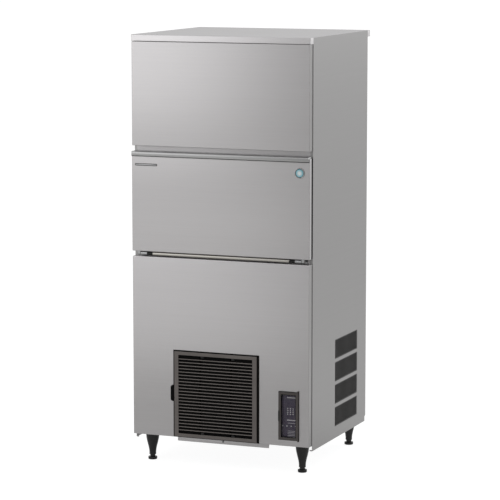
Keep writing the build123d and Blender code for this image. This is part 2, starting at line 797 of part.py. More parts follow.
def hatch(y, inset):
    """Limits of the opening in front of the ice maker, drawn in by an inset."""
    half = HALF - HATCH_FROM_SIDE - inset
    return (-half, half), y, (HATCH_BOTTOM + inset, HATCH_TOP - inset)


def front_frame():
    """Flat front frame round the bin's mouth and the ice maker's hatch."""
    half = HALF - SIDE_FLANGE
    body = slab((-half, half), (CAB_FRONT, FRAME_BACK), (DECK, ROOF))
    through = grown((CAB_FRONT, FRAME_BACK), OVERCUT)
    return body - slab(*mouth(through, LINER)) - slab(*hatch(through, LINER))


def cabinet_insulation():
    """Foam boards cut to fit: two sides, rear, floor, and seven round the front openings."""
    mouth_x, front, mouth_z = mouth((FRAME_BACK, CAVITY_FRONT), 0.0)
    hatch_x, _, hatch_z = hatch(front, 0.0)
    wide = (-SIDE_IN, SIDE_IN)
    inner = (-CAVITY_HALF, CAVITY_HALF)
    floor = slab(inner, (CAVITY_FRONT, CAVITY_REAR), (DECK, CAVITY_FLOOR))
    floor -= rod_z(DRAIN_RADIUS, DRAIN_X, DRAIN_Y, grown((DECK, CAVITY_FLOOR), OVERCUT))
    boards = [
        floor,
        slab(inner, (CAVITY_REAR, REAR_SKIN), (DECK, ROOF)),
        slab(wide, front, (DECK, mouth_z[0])),
        slab(wide, front, (mouth_z[1], hatch_z[0])),
        slab(wide, front, (hatch_z[1], ROOF)),
    ]
    uprights = [
        slab((CAVITY_HALF, SIDE_IN), (CAVITY_FRONT, REAR_SKIN), (DECK, ROOF)),
        slab((mouth_x[1], SIDE_IN), front, mouth_z),
        slab((hatch_x[1], SIDE_IN), front, hatch_z),
    ]
    for upright in uprights:
        boards += [upright, mirror(upright, about=Plane.YZ)]
    return Compound(children=boards)


def bin_liner():
    """Moulded liner of the bin and the ice maker's space, with sleeves to both openings."""
    body = slab((-CAVITY_HALF, CAVITY_HALF), (CAVITY_FRONT, CAVITY_REAR), (CAVITY_FLOOR, LID_BOTTOM))
    sleeve = (FRAME_BACK, CAVITY_FRONT)
    body += slab(*mouth(sleeve, 0.0))
    body += slab(*hatch(sleeve, 0.0))
    inside = slab((-LINED_HALF, LINED_HALF), (LINED_FRONT, LINED_REAR), (LINED_FLOOR, TOP))
    inside = fillet(inside.edges().filter_by(Axis.Z), LINER_CORNER)
    body -= inside
    through = (FRAME_BACK - OVERCUT, LINED_FRONT + LINER_CORNER + LINER)
    body -= slab(*mouth(through, LINER))
    body -= slab(*hatch(through, LINER))
    body -= rod_z(DRAIN_RADIUS - LINER, DRAIN_X, DRAIN_Y, (DECK, LINED_FLOOR + OVERCUT))
    return body + paddle_bracket()


def top_insulation():
    """Foam lid over the ice maker."""
    return slab(
        grown((-CAVITY_HALF, CAVITY_HALF), -SEAT_GAP),
        grown((CAVITY_FRONT, CAVITY_REAR), -SEAT_GAP),
        (LID_BOTTOM, ROOF),
    )


def front_insulation():
    """Foam block with a pulling recess that closes the hatch behind the upper panel."""
    x, y, z = hatch((CAB_FRONT, CAVITY_FRONT), LINER + SEAT_GAP)
    block = slab(x, y, z)
    middle = (z[0] + z[1]) / 2
    depth = (CAB_FRONT - OVERCUT, CAB_FRONT + PULL_DEEP)
    recess = slab((-PULL_HALF, PULL_HALF), depth, grown((middle, middle), PULL_TALL / 2))
    return block - fillet(recess.edges().filter_by(Axis.Y), PULL_CORNER)


def door_skin():
    """Folded stainless tray that faces the bin door."""
    return tray(
        (-DOOR_HALF, DOOR_HALF),
        (FRONT, FRONT + DOOR_DEPTH),
        (DOOR_BOTTOM, DOOR_TOP),
        DOOR_LIP,
    )


def door_liner():
    """Moulded inner wall of the door, with a plug that tapers into the bin's mouth."""
    back = FRONT + DOOR_DEPTH
    window_x = grown((-DOOR_HALF, DOOR_HALF), -DOOR_LIP)
    window_z = grown((DOOR_BOTTOM, DOOR_TOP), -DOOR_LIP)
    flange = slab(window_x, (back - 2 * SHEET, back), window_z)
    x, _, z = mouth((0, 0), LINER + PLUG_GAP)
    outer = door_plug(x, z, back, 0.0)
    inner = door_plug(x, z, back - 2 * SHEET, LINER)
    return flange + outer - inner


def door_plug(x, z, y, inset):
    """The plug's tapered form, drawn in by an inset on its sides and rear face."""
    wide = x[1] - x[0] - 2 * inset
    high = z[1] - z[0] - 2 * inset
    rear = FRONT + DOOR_DEPTH + PLUG_DEPTH - inset
    middle = (z[0] + z[1]) / 2
    base = Plane(origin=(0, y, middle), x_dir=(1, 0, 0), z_dir=(0, 1, 0))
    end = Plane(origin=(0, rear, middle), x_dir=(1, 0, 0), z_dir=(0, 1, 0))
    near = base * RectangleRounded(wide, high, PLUG_CORNER)
    far = end * RectangleRounded(wide - 2 * PLUG_DRAFT, high - 2 * PLUG_DRAFT, PLUG_CORNER)
    return loft([near, far])


def door_insulation():
    """Foam that fills the door between its skin and its liner."""
    back = FRONT + DOOR_DEPTH - 2 * SHEET
    x = grown((-DOOR_HALF, DOOR_HALF), -SHEET)
    z = grown((DOOR_BOTTOM, DOOR_TOP), -SHEET)
    return slab(x, (FRONT + SHEET, back), z)


def door_gasket():
    """Soft seal round the door's rear face, a bulb on a flat foot."""
    y = (FRONT + DOOR_DEPTH, CAB_FRONT - SEAT_GAP)
    x = grown((-DOOR_HALF, DOOR_HALF), -GASKET_INSET)
    z = grown((DOOR_BOTTOM, DOOR_TOP), -GASKET_INSET)
    ring = slab(x, y, z)
    ring = fillet(ring.edges().filter_by(Axis.Y), GASKET_CORNER)
    ring = chamfer(ring.faces().sort_by(Axis.Y)[-1].edges(), GASKET_EDGE)
    hole = slab(grown(x, -GASKET_WIDTH), grown(y, OVERCUT), grown(z, -GASKET_WIDTH))
    return ring - hole


def door_grip():
    """Extruded grip along the door's top edge: a rounded bar in front, a flat leg on top."""
    top = DOOR_TOP + GRIP_OVER
    face = FRONT - GRIP_PROUD
    outline = Polyline(
        (FRONT, top - GRIP_HEIGHT),
        (face, top - GRIP_HEIGHT),
        (face, top),
        (FRONT + GRIP_TOP_DEPTH, top),
        (FRONT + GRIP_TOP_DEPTH, DOOR_TOP),
        (FRONT, DOOR_TOP),
        close=True,
    )
    section = Plane.YZ * make_face(outline)
    half = DOOR_HALF - GRIP_INSET
    bar = Pos(-half, 0, 0) * extrude(section, 2 * half, dir=(1, 0, 0))
    long_edges = bar.edges().filter_by(Axis.X)
    front_edges = long_edges.group_by(Axis.Y)[0]
    bar = fillet(front_edges, GRIP_ROUND)
    rear_top = bar.edges().filter_by(Axis.X).group_by(Axis.Y)[-1].sort_by(Axis.Z)[-1]
    return fillet(rear_top, BEND)


def door_badge():
    """Round badge, blank: a chamfered rim round a domed disc."""
    inner = BADGE_RADIUS - BADGE_RIM
    points = [
        (0.0, 0.0),
        (BADGE_RADIUS, 0.0),
        (BADGE_RADIUS, BADGE_THICK - BADGE_EDGE),
        (BADGE_RADIUS - BADGE_EDGE, BADGE_THICK),
        (inner + BADGE_EDGE, BADGE_THICK),
    ]
    for step in range(BADGE_STEPS + 1):
        share = 1.0 - step / BADGE_STEPS
        points.append((inner * share, BADGE_CROWN - (BADGE_CROWN - BADGE_DISC) * share ** 2))
    disc = revolve(Plane.XZ * make_face(Polyline(*points, close=True)), Axis.Z)
    return Pos(HALF - BADGE_FROM_SIDE, FRONT, DOOR_TOP - BADGE_BELOW_TOP) * Rot(90, 0, 0) * disc


def hinge_stations():
    """Limits along X of the bush, the knuckle and the arm of the right hinge."""
    bush = (BAR_HALF, BAR_HALF + BUSH_LENGTH)
    knuckle = (bush[1] + SEAT_GAP, bush[1] + SEAT_GAP + KNUCKLE_LENGTH)
    arm = (knuckle[1] + ARM_SPACE, knuckle[1] + ARM_SPACE + ARM_LENGTH)
    return bush, knuckle, arm


def hinge_bar():
    """Round bar under the door on the hinge axis, with thinner pin ends."""
    arm = hinge_stations()[2]
    bar = rod_x(BAR_RADIUS, (-BAR_HALF, BAR_HALF), AXIS_Y, AXIS_Z)
    bar = fillet(bar.edges().filter_by(GeomType.CIRCLE), BAR_END)
    return bar + rod_x(PIN_RADIUS, (-arm[1], arm[1]), AXIS_Y, AXIS_Z)


def both_sides(piece):
    """A piece and its mirror image across the machine's middle."""
    return Compound(children=[piece, mirror(piece, about=Plane.YZ)])


def hinge_arms():
    """Two plates under the door, turned round the pins at their lower end."""
    arm = hinge_stations()[2]
    plate = rod_x(ARM_ROUND, arm, AXIS_Y, AXIS_Z)
    plate += slab(arm, grown((AXIS_Y, AXIS_Y), ARM_ROUND), (AXIS_Z, DOOR_BOTTOM))
    return both_sides(plate - rod_x(PIN_RADIUS, grown(arm, OVERCUT), AXIS_Y, AXIS_Z))


def hinge_bushes():
    """Two black bushes between the bar's ends and the brackets."""
    bush = hinge_stations()[0]
    ring = rod_x(BUSH_RADIUS, bush, AXIS_Y, AXIS_Z)
    return both_sides(ring - rod_x(PIN_RADIUS, grown(bush, OVERCUT), AXIS_Y, AXIS_Z))


def hinge_brackets():
    """Two steel brackets on the cabinet: a knuckle round the pin, an arm and a foot."""
    knuckle = hinge_stations()[1]
    arm_z = grown((AXIS_Z, AXIS_Z), BRACKET_THICK / 2)
    foot_x = (knuckle[0], knuckle[1] + BRACKET_FOOT)
    foot_z = (AXIS_Z - BRACKET_BELOW, AXIS_Z + BRACKET_ABOVE)
    ring = rod_x(KNUCKLE_RADIUS, knuckle, AXIS_Y, AXIS_Z)
    ring += slab(knuckle, (AXIS_Y, CAB_FRONT), arm_z)
    ring += slab(foot_x, (CAB_FRONT - BRACKET_PLATE, CAB_FRONT), foot_z)
    return both_sides(ring - rod_x(PIN_RADIUS + RUNNING_GAP, grown(knuckle, OVERCUT), AXIS_Y, AXIS_Z))


def louvre_frame(x, z, y):
    """A loft between the louvre's base outline and its smaller front outline."""
    base = Plane(origin=(LOUVRE_X, y[0], LOUVRE_MID), x_dir=(1, 0, 0), z_dir=(0, -1, 0))
    face = Plane(origin=(LOUVRE_X, y[1], LOUVRE_MID), x_dir=(1, 0, 0), z_dir=(0, -1, 0))
    return loft([base * Rectangle(x[0], z[0]), face * Rectangle(x[1], z[1])])


def front_louvre():
    """Moulded air inlet: tapered frame, slanted slats, ribs, filter slot and duct."""
    face_wide = LOUVRE_WIDTH - 2 * LOUVRE_TAPER_SIDE
    face_high = LOUVRE_HEIGHT - 2 * LOUVRE_TAPER_END
    body = louvre_frame((LOUVRE_WIDTH, face_wide), (LOUVRE_HEIGHT, face_high), (FRONT, LOUVRE_FACE))
    open_x = grown((LOUVRE_X, LOUVRE_X), face_wide / 2 - LOUVRE_RIM_SIDE)
    open_z = grown((LOUVRE_MID, LOUVRE_MID), LOUVRE_OPEN_HIGH / 2)
    body -= slab(open_x, grown((LOUVRE_FACE, FRONT), OVERCUT), open_z)
    slot_x, slot_z = filter_slot()
    body -= slab(
        (LOUVRE_LEFT - OVERCUT, slot_x[1]),
        grown((FILTER_FACE, FILTER_REAR), SEAT_GAP),
        slot_z,
    )
    body += slab(*duct_limits(0.0, 0.0)) - slab(*duct_limits(DUCT_WALL, OVERCUT))
    body += louvre_slats(open_x)
    for side in (-1, 1):
        x = grown((LOUVRE_X + side * RIB_OFFSET, LOUVRE_X + side * RIB_OFFSET), RIB_WIDTH / 2)
        body += slab(x, (SLAT_BACK - RIB_DEPTH, SLAT_BACK), open_z)
    return body


def duct_limits(wall, past):
    """Limits of the louvre's duct behind the panel, drawn in by its wall."""
    x = grown((LOUVRE_LEFT, LOUVRE_RIGHT), -DUCT_INSET - wall)
    z = grown((LOUVRE_BOTTOM, LOUVRE_TOP), -DUCT_INSET - wall)
    return x, (FRONT - SHEET, FRONT + DUCT_DEPTH + past), z


def filter_slot():
    """Limits of the slot that the filter slides in, along X and Z."""
    x = (LOUVRE_LEFT + DUCT_INSET, LOUVRE_RIGHT - LOUVRE_TAPER_SIDE - SLOT_END)
    z = grown((LOUVRE_BOTTOM, LOUVRE_TOP), -DUCT_INSET)
    return x, z


def louvre_slats(x):
    """Slanted slats with the air gaps between them, highest at their rear edge."""
    front = SLAT_BACK - SLAT_DEPTH
    slats = []
    for index in range(SLAT_COUNT):
        z = LOUVRE_MID + (index - (SLAT_COUNT - 1) / 2) * SLAT_PITCH
        low = z - SLAT_FACE / 2
        high = z + SLAT_FACE / 2
        outline = Polyline(
            (front, low),
            (front, low + SLAT_THICK),
            (SLAT_BACK, high),
            (SLAT_BACK, high - SLAT_THICK),
            close=True,
        )
        section = Plane.YZ * make_face(outline)
        slats.append(Pos(x[0], 0, 0) * extrude(section, x[1] - x[0], dir=(1, 0, 0)))
    return slats


def air_filter():
    """Sliding filter: a frame with bars, a thin mesh sheet and a pull tab on the left."""
    slot_x, slot_z = filter_slot()
    x = (LOUVRE_LEFT + FILTER_START, slot_x[1] - SEAT_GAP)
    z = grown(slot_z, -SEAT_GAP)
    y = (FILTER_FACE, FILTER_REAR)
    body = slab(x, y, z)
    inner_x = grown(x, -FILTER_FRAME)
    inner_z = grown(z, -FILTER_FRAME)
    body -= slab(inner_x, grown(y, OVERCUT), inner_z)
    middle = (y[0] + y[1]) / 2
    mesh_y = grown((middle, middle), FILTER_MESH / 2)
    body += slab(grown(inner_x, SHEET), mesh_y, grown(inner_z, SHEET))
    bar_y = grown(y, -FILTER_BAR_INSET)
    step_x = (inner_x[1] - inner_x[0]) / (FILTER_BARS + 1)
    step_z = (inner_z[1] - inner_z[0]) / (FILTER_BARS + 1)
    for index in range(FILTER_BARS):
        at_x = inner_x[0] + (index + 1) * step_x
        at_z = inner_z[0] + (index + 1) * step_z
        body += slab(grown((at_x, at_x), FILTER_BAR / 2), bar_y, inner_z)
        body += slab(inner_x, bar_y, grown((at_z, at_z), FILTER_BAR / 2))
    tab_z = grown((BASE + TAB_MIDDLE, BASE + TAB_MIDDLE), TAB_TALL / 2)
    tab = slab((x[0] - TAB_OUT, x[0]), y, tab_z)
    tab = fillet(tab.edges().filter_by(Axis.Y).group_by(Axis.X)[0], TAB_ROUND)
    return body + tab


def control_limits(inset):
    """Limits of the control cover along X and Z, drawn in by an inset."""
    x = grown((CONTROL_LEFT, CONTROL_RIGHT), -inset)
    z = grown((CONTROL_BOTTOM, CONTROL_TOP), -inset)
    return x, z


def cover_axis():
    """Place of the control cover's upright hinge axis."""
    radius = (CONTROL_PROUD - SEAT_GAP) / 2
    return CONTROL_RIGHT - radius, FRONT - SEAT_GAP - radius, radius


def control_cover():
    """Hinged cover frame: bevelled rim, rounded hinge edge, finger notch and pins."""
    x, z = control_limits(0.0)
    y = (FRONT - CONTROL_PROUD, FRONT - SEAT_GAP)
    axis_x, axis_y, radius = cover_axis()
    body = slab((x[0], axis_x), y, z)
    rim = body.faces().sort_by(Axis.Y)[0].edges()
    rim = rim - rim.sort_by(Axis.X)[-1:]
    body = chamfer(rim, CONTROL_BEVEL)
    body += rod_z(radius, axis_x, axis_y, z)
    pane_x, pane_z = control_limits(CONTROL_RIM)
    body -= slab(grown(pane_x, -PANE_LEDGE), grown(y, OVERCUT), grown(pane_z, -PANE_LEDGE))
    body -= slab(pane_x, (y[0] - OVERCUT, y[0] + PANE_BACK), pane_z)
    notch = slab(
        (x[0] - OVERCUT, x[0] + NOTCH_WIDE),
        (y[1] - NOTCH_DEEP, y[1] + OVERCUT),
        grown((CONTROL_MID, CONTROL_MID), NOTCH_TALL / 2),
    )
    body -= notch
    return body + rod_z(COVER_PIN_RADIUS, axis_x, axis_y, grown(z, EAR_THICK))


def control_pane():
    """Smoked pane set in the cover."""
    x, z = control_limits(CONTROL_RIM)
    back = FRONT - CONTROL_PROUD + PANE_BACK
    return slab(x, (back - PANE_THICK, back), z)


def cover_ears():
    """Two small ears on the panel that hold the cover's pins."""
    axis_x, axis_y, radius = cover_axis()
    ears = []
    bottom = (CONTROL_BOTTOM - SEAT_GAP - EAR_THICK, CONTROL_BOTTOM - SEAT_GAP)
    top = (CONTROL_TOP + SEAT_GAP, CONTROL_TOP + SEAT_GAP + EAR_THICK)
    for z in (bottom, top):
        ear = rod_z(radius, axis_x, axis_y, z)
        ear += slab(grown((axis_x, axis_x), radius), (axis_y, FRONT), z)
        ears.append(ear - rod_z(COVER_PIN_RADIUS + RUNNING_GAP, axis_x, axis_y, grown(z, OVERCUT)))
    return Compound(children=ears)


def control_housing():
    """Moulded housing on the panel's inner face that holds the keypad."""
    x, y, z = keypad_hole((FRONT + SHEET, CAB_FRONT))
    body = slab(grown(x, HOUSING_WALL), y, grown(z, HOUSING_WALL))
    body = fillet(body.edges().filter_by(Axis.Y), HOUSING_CORNER)
    well = slab(x, (FRONT, FRONT + KEYPAD_DEEP + KEYPAD_THICK), z)
    return body - well


def control_keypad():
    """Keypad plate with a row of raised round keys and a display window."""
    x, _, z = keypad_hole((0, 0))
    front = FRONT + KEYPAD_DEEP
    body = slab(x, (front, front + KEYPAD_THICK), z)
    step = (x[1] - x[0]) / KEY_COUNT
    for index in range(KEY_COUNT):
        at = x[0] + (index + 0.5) * step
        body += rod_y(KEY_RADIUS, at, (front - KEY_PROUD, front), z[0] + KEY_RISE)
    display_z = (z[0] + DISPLAY_RISE, z[0] + DISPLAY_RISE + DISPLAY_TALL)
    return body + slab(grown(x, -DISPLAY_INSET), (front - DISPLAY_PROUD, front), display_z)


def control_box():
    """Folded steel box for the electrical parts, hung behind the keypad."""
    x, z = control_limits(-CONTROL_BOX_LAP)
    front = CAB_FRONT + SHEET + PAN_SHEET
    y = (front, front + CONTROL_BOX_DEPTH)
    body = slab(x, y, (PAN_TOP, z[1]))
    return fillet(body.edges().filter_by(Axis.Z), BEND)


def condenser():
    """Finned coil: grooved fin pack, two end plates on the pan and return bends."""
    x = grown((LOUVRE_X, LOUVRE_X), COIL_WIDTH / 2)
    z = (COIL_BOTTOM, COIL_TOP)
    pack = slab(x, (COIL_FRONT, COIL_REAR), z)
    grooves = int(COIL_WIDTH / FIN_PITCH) - 1
    for index in range(grooves):
        at = LOUVRE_X + (index - (grooves - 1) / 2) * FIN_PITCH
        width = grown((at, at), FIN_GROOVE / 2)
        pack -= slab(width, (COIL_FRONT - OVERCUT, COIL_FRONT + FIN_DEEP), grown(z, OVERCUT))
        pack -= slab(width, (COIL_REAR - FIN_DEEP, COIL_REAR + OVERCUT), grown(z, OVERCUT))
    pitch = COIL_HEIGHT / TUBE_BEND_ROWS
    for side in (-1, 1):
        edge = LOUVRE_X + side * COIL_WIDTH / 2
        outer = edge + side * END_PLATE
        pack += slab((min(edge, outer), max(edge, outer)), (COIL_FRONT, COIL_REAR), (PAN_TOP, z[1]))
        for row in range(TUBE_BEND_ROWS):
            pack += return_bend(outer, side, z[0] + (row + 0.5) * pitch)
    return pack


def return_bend(x, side, z):
    """One half-round tube bend that stands out of the condenser's end plate."""
    y = (COIL_FRONT + COIL_REAR) / 2
    ring = Pos(x, y, z) * Rot(90, 0, 0) * Torus(TUBE_BEND_RADIUS, TUBE_RADIUS)
    reach = TUBE_BEND_RADIUS + TUBE_RADIUS + OVERCUT
    keep_x = (min(x, x + side * reach), max(x, x + side * reach))
    return ring & slab(keep_x, grown((y, y), reach), grown((z, z), reach))


def fan_shroud():
    """Sheet shroud behind the condenser with a round collar and the motor's spider."""
    wide = grown((LOUVRE_X, LOUVRE_X), COIL_WIDTH / 2 + END_PLATE)
    tall = (COIL_BOTTOM, COIL_TOP)
    body = slab(wide, (COIL_REAR, SHROUD_REAR), tall)
    inner_y = (COIL_REAR - OVERCUT, SHROUD_REAR - SHROUD_SHEET)
    body -= slab(grown(wide, -SHROUD_SHEET), inner_y, grown(tall, -SHROUD_SHEET))
    bore = FAN_RADIUS + FAN_CLEARANCE
    collar_y = (SHROUD_REAR - SHROUD_SHEET, SHROUD_REAR + COLLAR_LENGTH)
    body += rod_y(bore + SHROUD_SHEET, LOUVRE_X, collar_y, COIL_MID)
    body -= rod_y(bore, LOUVRE_X, (COIL_REAR + OVERCUT, collar_y[1] + OVERCUT), COIL_MID)
    spider_y = (SPIDER_FACE, MOTOR_SEAT)
    half = (-SPIDER_WIDTH / 2, SPIDER_WIDTH / 2)
    foot_x = (bore + SPIDER_THICK, bore + SPIDER_WIDTH)
    arm = slab((MOTOR_RADIUS - SPIDER_THICK, foot_x[1]), spider_y, half)
    post = slab(foot_x, (SHROUD_REAR, SPIDER_FACE), half)
    for turn in range(4):
        body += Pos(LOUVRE_X, 0, COIL_MID) * Rot(0, 45 + 90 * turn, 0) * (arm + post)
    body += rod_y(MOTOR_RADIUS, LOUVRE_X, spider_y, COIL_MID)
    return body - rod_y(SPIDER_HOLE, LOUVRE_X, grown(spider_y, OVERCUT), COIL_MID)


def fan_motor():
    """Motor on the shroud's spider, its shaft forward through the fan."""
    can = rod_y(MOTOR_RADIUS, LOUVRE_X, (MOTOR_SEAT, MOTOR_SEAT + MOTOR_LENGTH), COIL_MID)
    can = fillet(can.edges().sort_by(Axis.Y)[-1], MOTOR_ROUND)
    boss = rod_y(MOTOR_BOSS_RADIUS, LOUVRE_X, (MOTOR_SEAT - MOTOR_BOSS_LENGTH, MOTOR_SEAT), COIL_MID)
    shaft = rod_y(SHAFT_RADIUS, LOUVRE_X, (FAN_MIDDLE - FAN_HUB_DEPTH / 2, MOTOR_SEAT), COIL_MID)
    return can + boss + shaft


def fan_blade():
    """Axial fan: pitched blades lofted from a round hub, flatter towards their tips."""
    hub = Rot(90, 0, 0) * Cylinder(FAN_HUB, FAN_HUB_DEPTH)
    body = fillet(hub.edges().filter_by(GeomType.CIRCLE), FAN_HUB_EDGE)
    root_turn = Rot(0, 0, BLADE_ROOT_PITCH)
    tip_turn = Rot(0, 0, BLADE_TIP_PITCH)
    root_plane = Plane.XY.offset(FAN_HUB - BLADE_SUNK)
    tip_plane = Plane.XY.offset(FAN_RADIUS - BLADE_TIP_GAP)
    root = root_plane * root_turn * Rectangle(BLADE_ROOT_CHORD, BLADE_ROOT_THICK)
    tip = tip_plane * tip_turn * Rectangle(BLADE_TIP_CHORD, BLADE_TIP_THICK)
    blade = loft([root, tip])
    for index in range(FAN_BLADES):
        body += Rot(0, index * 360 / FAN_BLADES, 0) * blade
    bore = Rot(90, 0, 0) * Cylinder(SHAFT_RADIUS + RUNNING_GAP, FAN_HUB_DEPTH + 2 * OVERCUT)
    return Pos(LOUVRE_X, FAN_MIDDLE, COIL_MID) * (body - bore)


def grommet_places():
    """Where the compressor's four grommets stand."""
    reach_x = COMPRESSOR_HALF_X + GROMMETS_PAST_X
    reach_y = COMPRESSOR_HALF_Y - GROMMETS_INSIDE_Y
    return [
        (COMPRESSOR_X + sx * reach_x, COMPRESSOR_Y + sy * reach_y)
        for sx in (-1, 1)
        for sy in (-1, 1)
    ]


def compressor():
    """Hermetic compressor: domed oval shell, weld seam, foot plate and pipe stub."""
    shell = extrude(Ellipse(COMPRESSOR_HALF_X, COMPRESSOR_HALF_Y), COMPRESSOR_HEIGHT)
    shell = fillet(shell.edges().sort_by(Axis.Z)[-1], SHELL_DOME)
    rim = Ellipse(COMPRESSOR_HALF_X + WELD_PROUD, COMPRESSOR_HALF_Y + WELD_PROUD)
    shell += Pos(0, 0, COMPRESSOR_HEIGHT / 2) * extrude(rim, WELD_HEIGHT)
    plate = slab(
        grown((0.0, 0.0), COMPRESSOR_HALF_X + FOOT_PLATE_PAST_X),
        grown((0.0, 0.0), COMPRESSOR_HALF_Y + FOOT_PLATE_PAST_Y),
        (-FOOT_PLATE, 0.0),
    )
    plate = fillet(plate.edges().filter_by(Axis.Z), FOOT_PLATE_CORNER)
    body = Pos(COMPRESSOR_X, COMPRESSOR_Y, SHELL_BOTTOM) * (shell + plate)
    return body + rod_y(STUB_RADIUS, COMPRESSOR_X, (STUB_END, COMPRESSOR_Y), STUB_Z)


def compressor_grommets():
    """Four waisted rubber grommets under the compressor's foot plate."""
    middle = (PAN_TOP + FOOT_PLATE_BOTTOM) / 2
    groove_z = grown((middle, middle), FOOT_GROMMET_GROOVE / 2)
    grommets = []
    for x, y in grommet_places():
        block = rod_z(FOOT_GROMMET_RADIUS, x, y, (PAN_TOP, FOOT_PLATE_BOTTOM))
        groove = rod_z(FOOT_GROMMET_RADIUS + OVERCUT, x, y, groove_z)
        groove -= rod_z(FOOT_GROMMET_RADIUS - FOOT_GROMMET_WAIST, x, y, groove_z)
        grommets.append(block - groove)
    return Compound(children=grommets)


def discharge_pipe():
    """Pipe from the compressor's stub forward to the condenser's top inlet."""
    inlet_y = COIL_REAR - PIPE_INLET
    inlet_z = COIL_TOP - PIPE_INLET
    points = [
        (COMPRESSOR_X, STUB_END, STUB_Z),
        (COMPRESSOR_X, STUB_END - PIPE_LOOP, STUB_Z),
        (COMPRESSOR_X - PIPE_SHIFT, STUB_END - PIPE_LOOP, inlet_z),
        (COMPRESSOR_X - PIPE_SHIFT, inlet_y, inlet_z),
        (COIL_END, inlet_y, inlet_z),
    ]
    return pipe(points, PIPE_BEND, PIPE_RADIUS)


def water_inlet():
    """Water valve behind the rear cover, its collar and threaded inlet out through the cover."""
    shoulder = REAR_SKIN + 2 * REAR_SHEET
    end = REAR_SKIN + OUTLET_LENGTH
    body = slab(
        grown((WATER_X, WATER_X), VALVE_HALF),
        (REAR_SKIN - VALVE_DEPTH, REAR_SKIN),
        grown((WATER_Z, WATER_Z), VALVE_HALF),
    )
    body = fillet(body.edges().filter_by(Axis.Y), VALVE_CORNER)
    coil_z = (WATER_Z + VALVE_HALF, WATER_Z + VALVE_HALF + VALVE_COIL_HEIGHT)
    body += rod_z(VALVE_COIL_RADIUS, WATER_X, REAR_SKIN - VALVE_DEPTH / 2, coil_z)
    body += rod_y(WATER_COLLAR, WATER_X, (REAR_SKIN, shoulder), WATER_Z)
    body += rod_y(WATER_RADIUS, WATER_X, (shoulder, end), WATER_Z)
    return body - rod_y(WATER_BORE, WATER_X, (REAR_SKIN - VALVE_DEPTH / 2, end + OVERCUT), WATER_Z)


def drain_fitting():
    """Elbow that takes the bin's drain down and out through the rear cover as a spigot."""
    inside = DRAIN_RADIUS - DRAIN_WALL
    shoulder = REAR_SKIN + 2 * REAR_SHEET
    end = REAR_SKIN + OUTLET_LENGTH
    body = rod_z(DRAIN_RADIUS, DRAIN_X, DRAIN_Y, (DRAIN_Z, DECK - DECK_SHEET))
    body += rod_y(DRAIN_RADIUS, DRAIN_X, (DRAIN_Y, shoulder), DRAIN_Z)
    body += rod_y(SPIGOT_RADIUS, DRAIN_X, (shoulder, end), DRAIN_Z)
    body += Pos(DRAIN_X, DRAIN_Y, DRAIN_Z) * Sphere(DRAIN_RADIUS)
    body -= rod_z(inside, DRAIN_X, DRAIN_Y, (DRAIN_Z, DECK + OVERCUT))
    body -= rod_y(SPIGOT_RADIUS - DRAIN_WALL, DRAIN_X, (DRAIN_Y, end + OVERCUT), DRAIN_Z)
    return body - Pos(DRAIN_X, DRAIN_Y, DRAIN_Z) * Sphere(inside)


def cord_grommet():
    """Rubber grommet in the rear cover's cord hole."""
    outer = REAR_SKIN + REAR_SHEET
    ends = (REAR_SKIN - LIP_THICK, outer + LIP_THICK)
    body = rod_y(GROMMET_HOLE + GROMMET_LIP, GROMMET_X, (ends[0], REAR_SKIN), GROMMET_Z)
    body += rod_y(GROMMET_HOLE + GROMMET_LIP, GROMMET_X, (outer, ends[1]), GROMMET_Z)
    body += rod_y(GROMMET_HOLE, GROMMET_X, ends, GROMMET_Z)
    return body - rod_y(GROMMET_BORE, GROMMET_X, grown(ends, OVERCUT), GROMMET_Z)


def evaporator():
    """Freezing plate over a grid of downward cells, with the coil brazed on top."""
    y = grown((GRID_Y, GRID_Y), GRID_WIDE / 2)
    block = slab(grown((0.0, 0.0), GRID_LONG / 2), y, (GRID_BOTTOM, GRID_TOP))
    pocket = Box(CELL, CELL, 2 * CELL_DEPTH)
    spots = GridLocations(CELL_PITCH, CELL_PITCH, CELL_COLUMNS, CELL_ROWS)
    block -= [Pos(0, GRID_Y, GRID_BOTTOM) * spot * pocket for spot in spots]
    ear_x = grown((0.0, 0.0), GRID_LONG / 2 - GRID_EAR_INSET)
    ears = slab(ear_x, grown(y, GRID_EAR_OUT), (GRID_TOP - CELL_WALL, GRID_TOP))
    return block + ears + evaporator_coil()


def evaporator_coil():
    """Serpentine tube on the freezing plate, its underside sunk in the braze."""
    z = GRID_TOP + TUBE_RADIUS - COIL_TUBE_SUNK
    reach = GRID_LONG / 2 - COIL_TUBE_INSET
    half = GRID_WIDE / 2 - COIL_TUBE_INSET
    step = 2 * half / (COIL_TUBE_ROWS - 1)
    points = []
    for row in range(COIL_TUBE_ROWS):
        y = GRID_Y - half + row * step
        ends = (-reach, reach) if row % 2 == 0 else (reach, -reach)
        points.append((ends[0], y, z))
        points.append((ends[1], y, z))
    return pipe(points, COIL_TUBE_BEND, TUBE_RADIUS)


def maker_frame():
    """Two upright beams across the liner that carry the evaporator, plate and cam shaft."""
    span = grown((-LINED_HALF, LINED_HALF), -SEAT_GAP)
    top = LID_BOTTOM - SEAT_GAP
    front = maker_beam((MAKER_Y - BEAM_THICK, MAKER_Y), (MAKER_Y, MAKER_Y + LEDGE_WIDTH))
    rear = maker_beam((MAKER_REAR, MAKER_REAR + BEAM_THICK), (MAKER_REAR - LEDGE_WIDTH, MAKER_REAR))
    body = front + rear
    for x in ((span[0], span[0] + RAIL), (span[1] - RAIL, span[1])):
        body += slab(x, (MAKER_Y, MAKER_REAR), (top - RAIL, top))
    return body


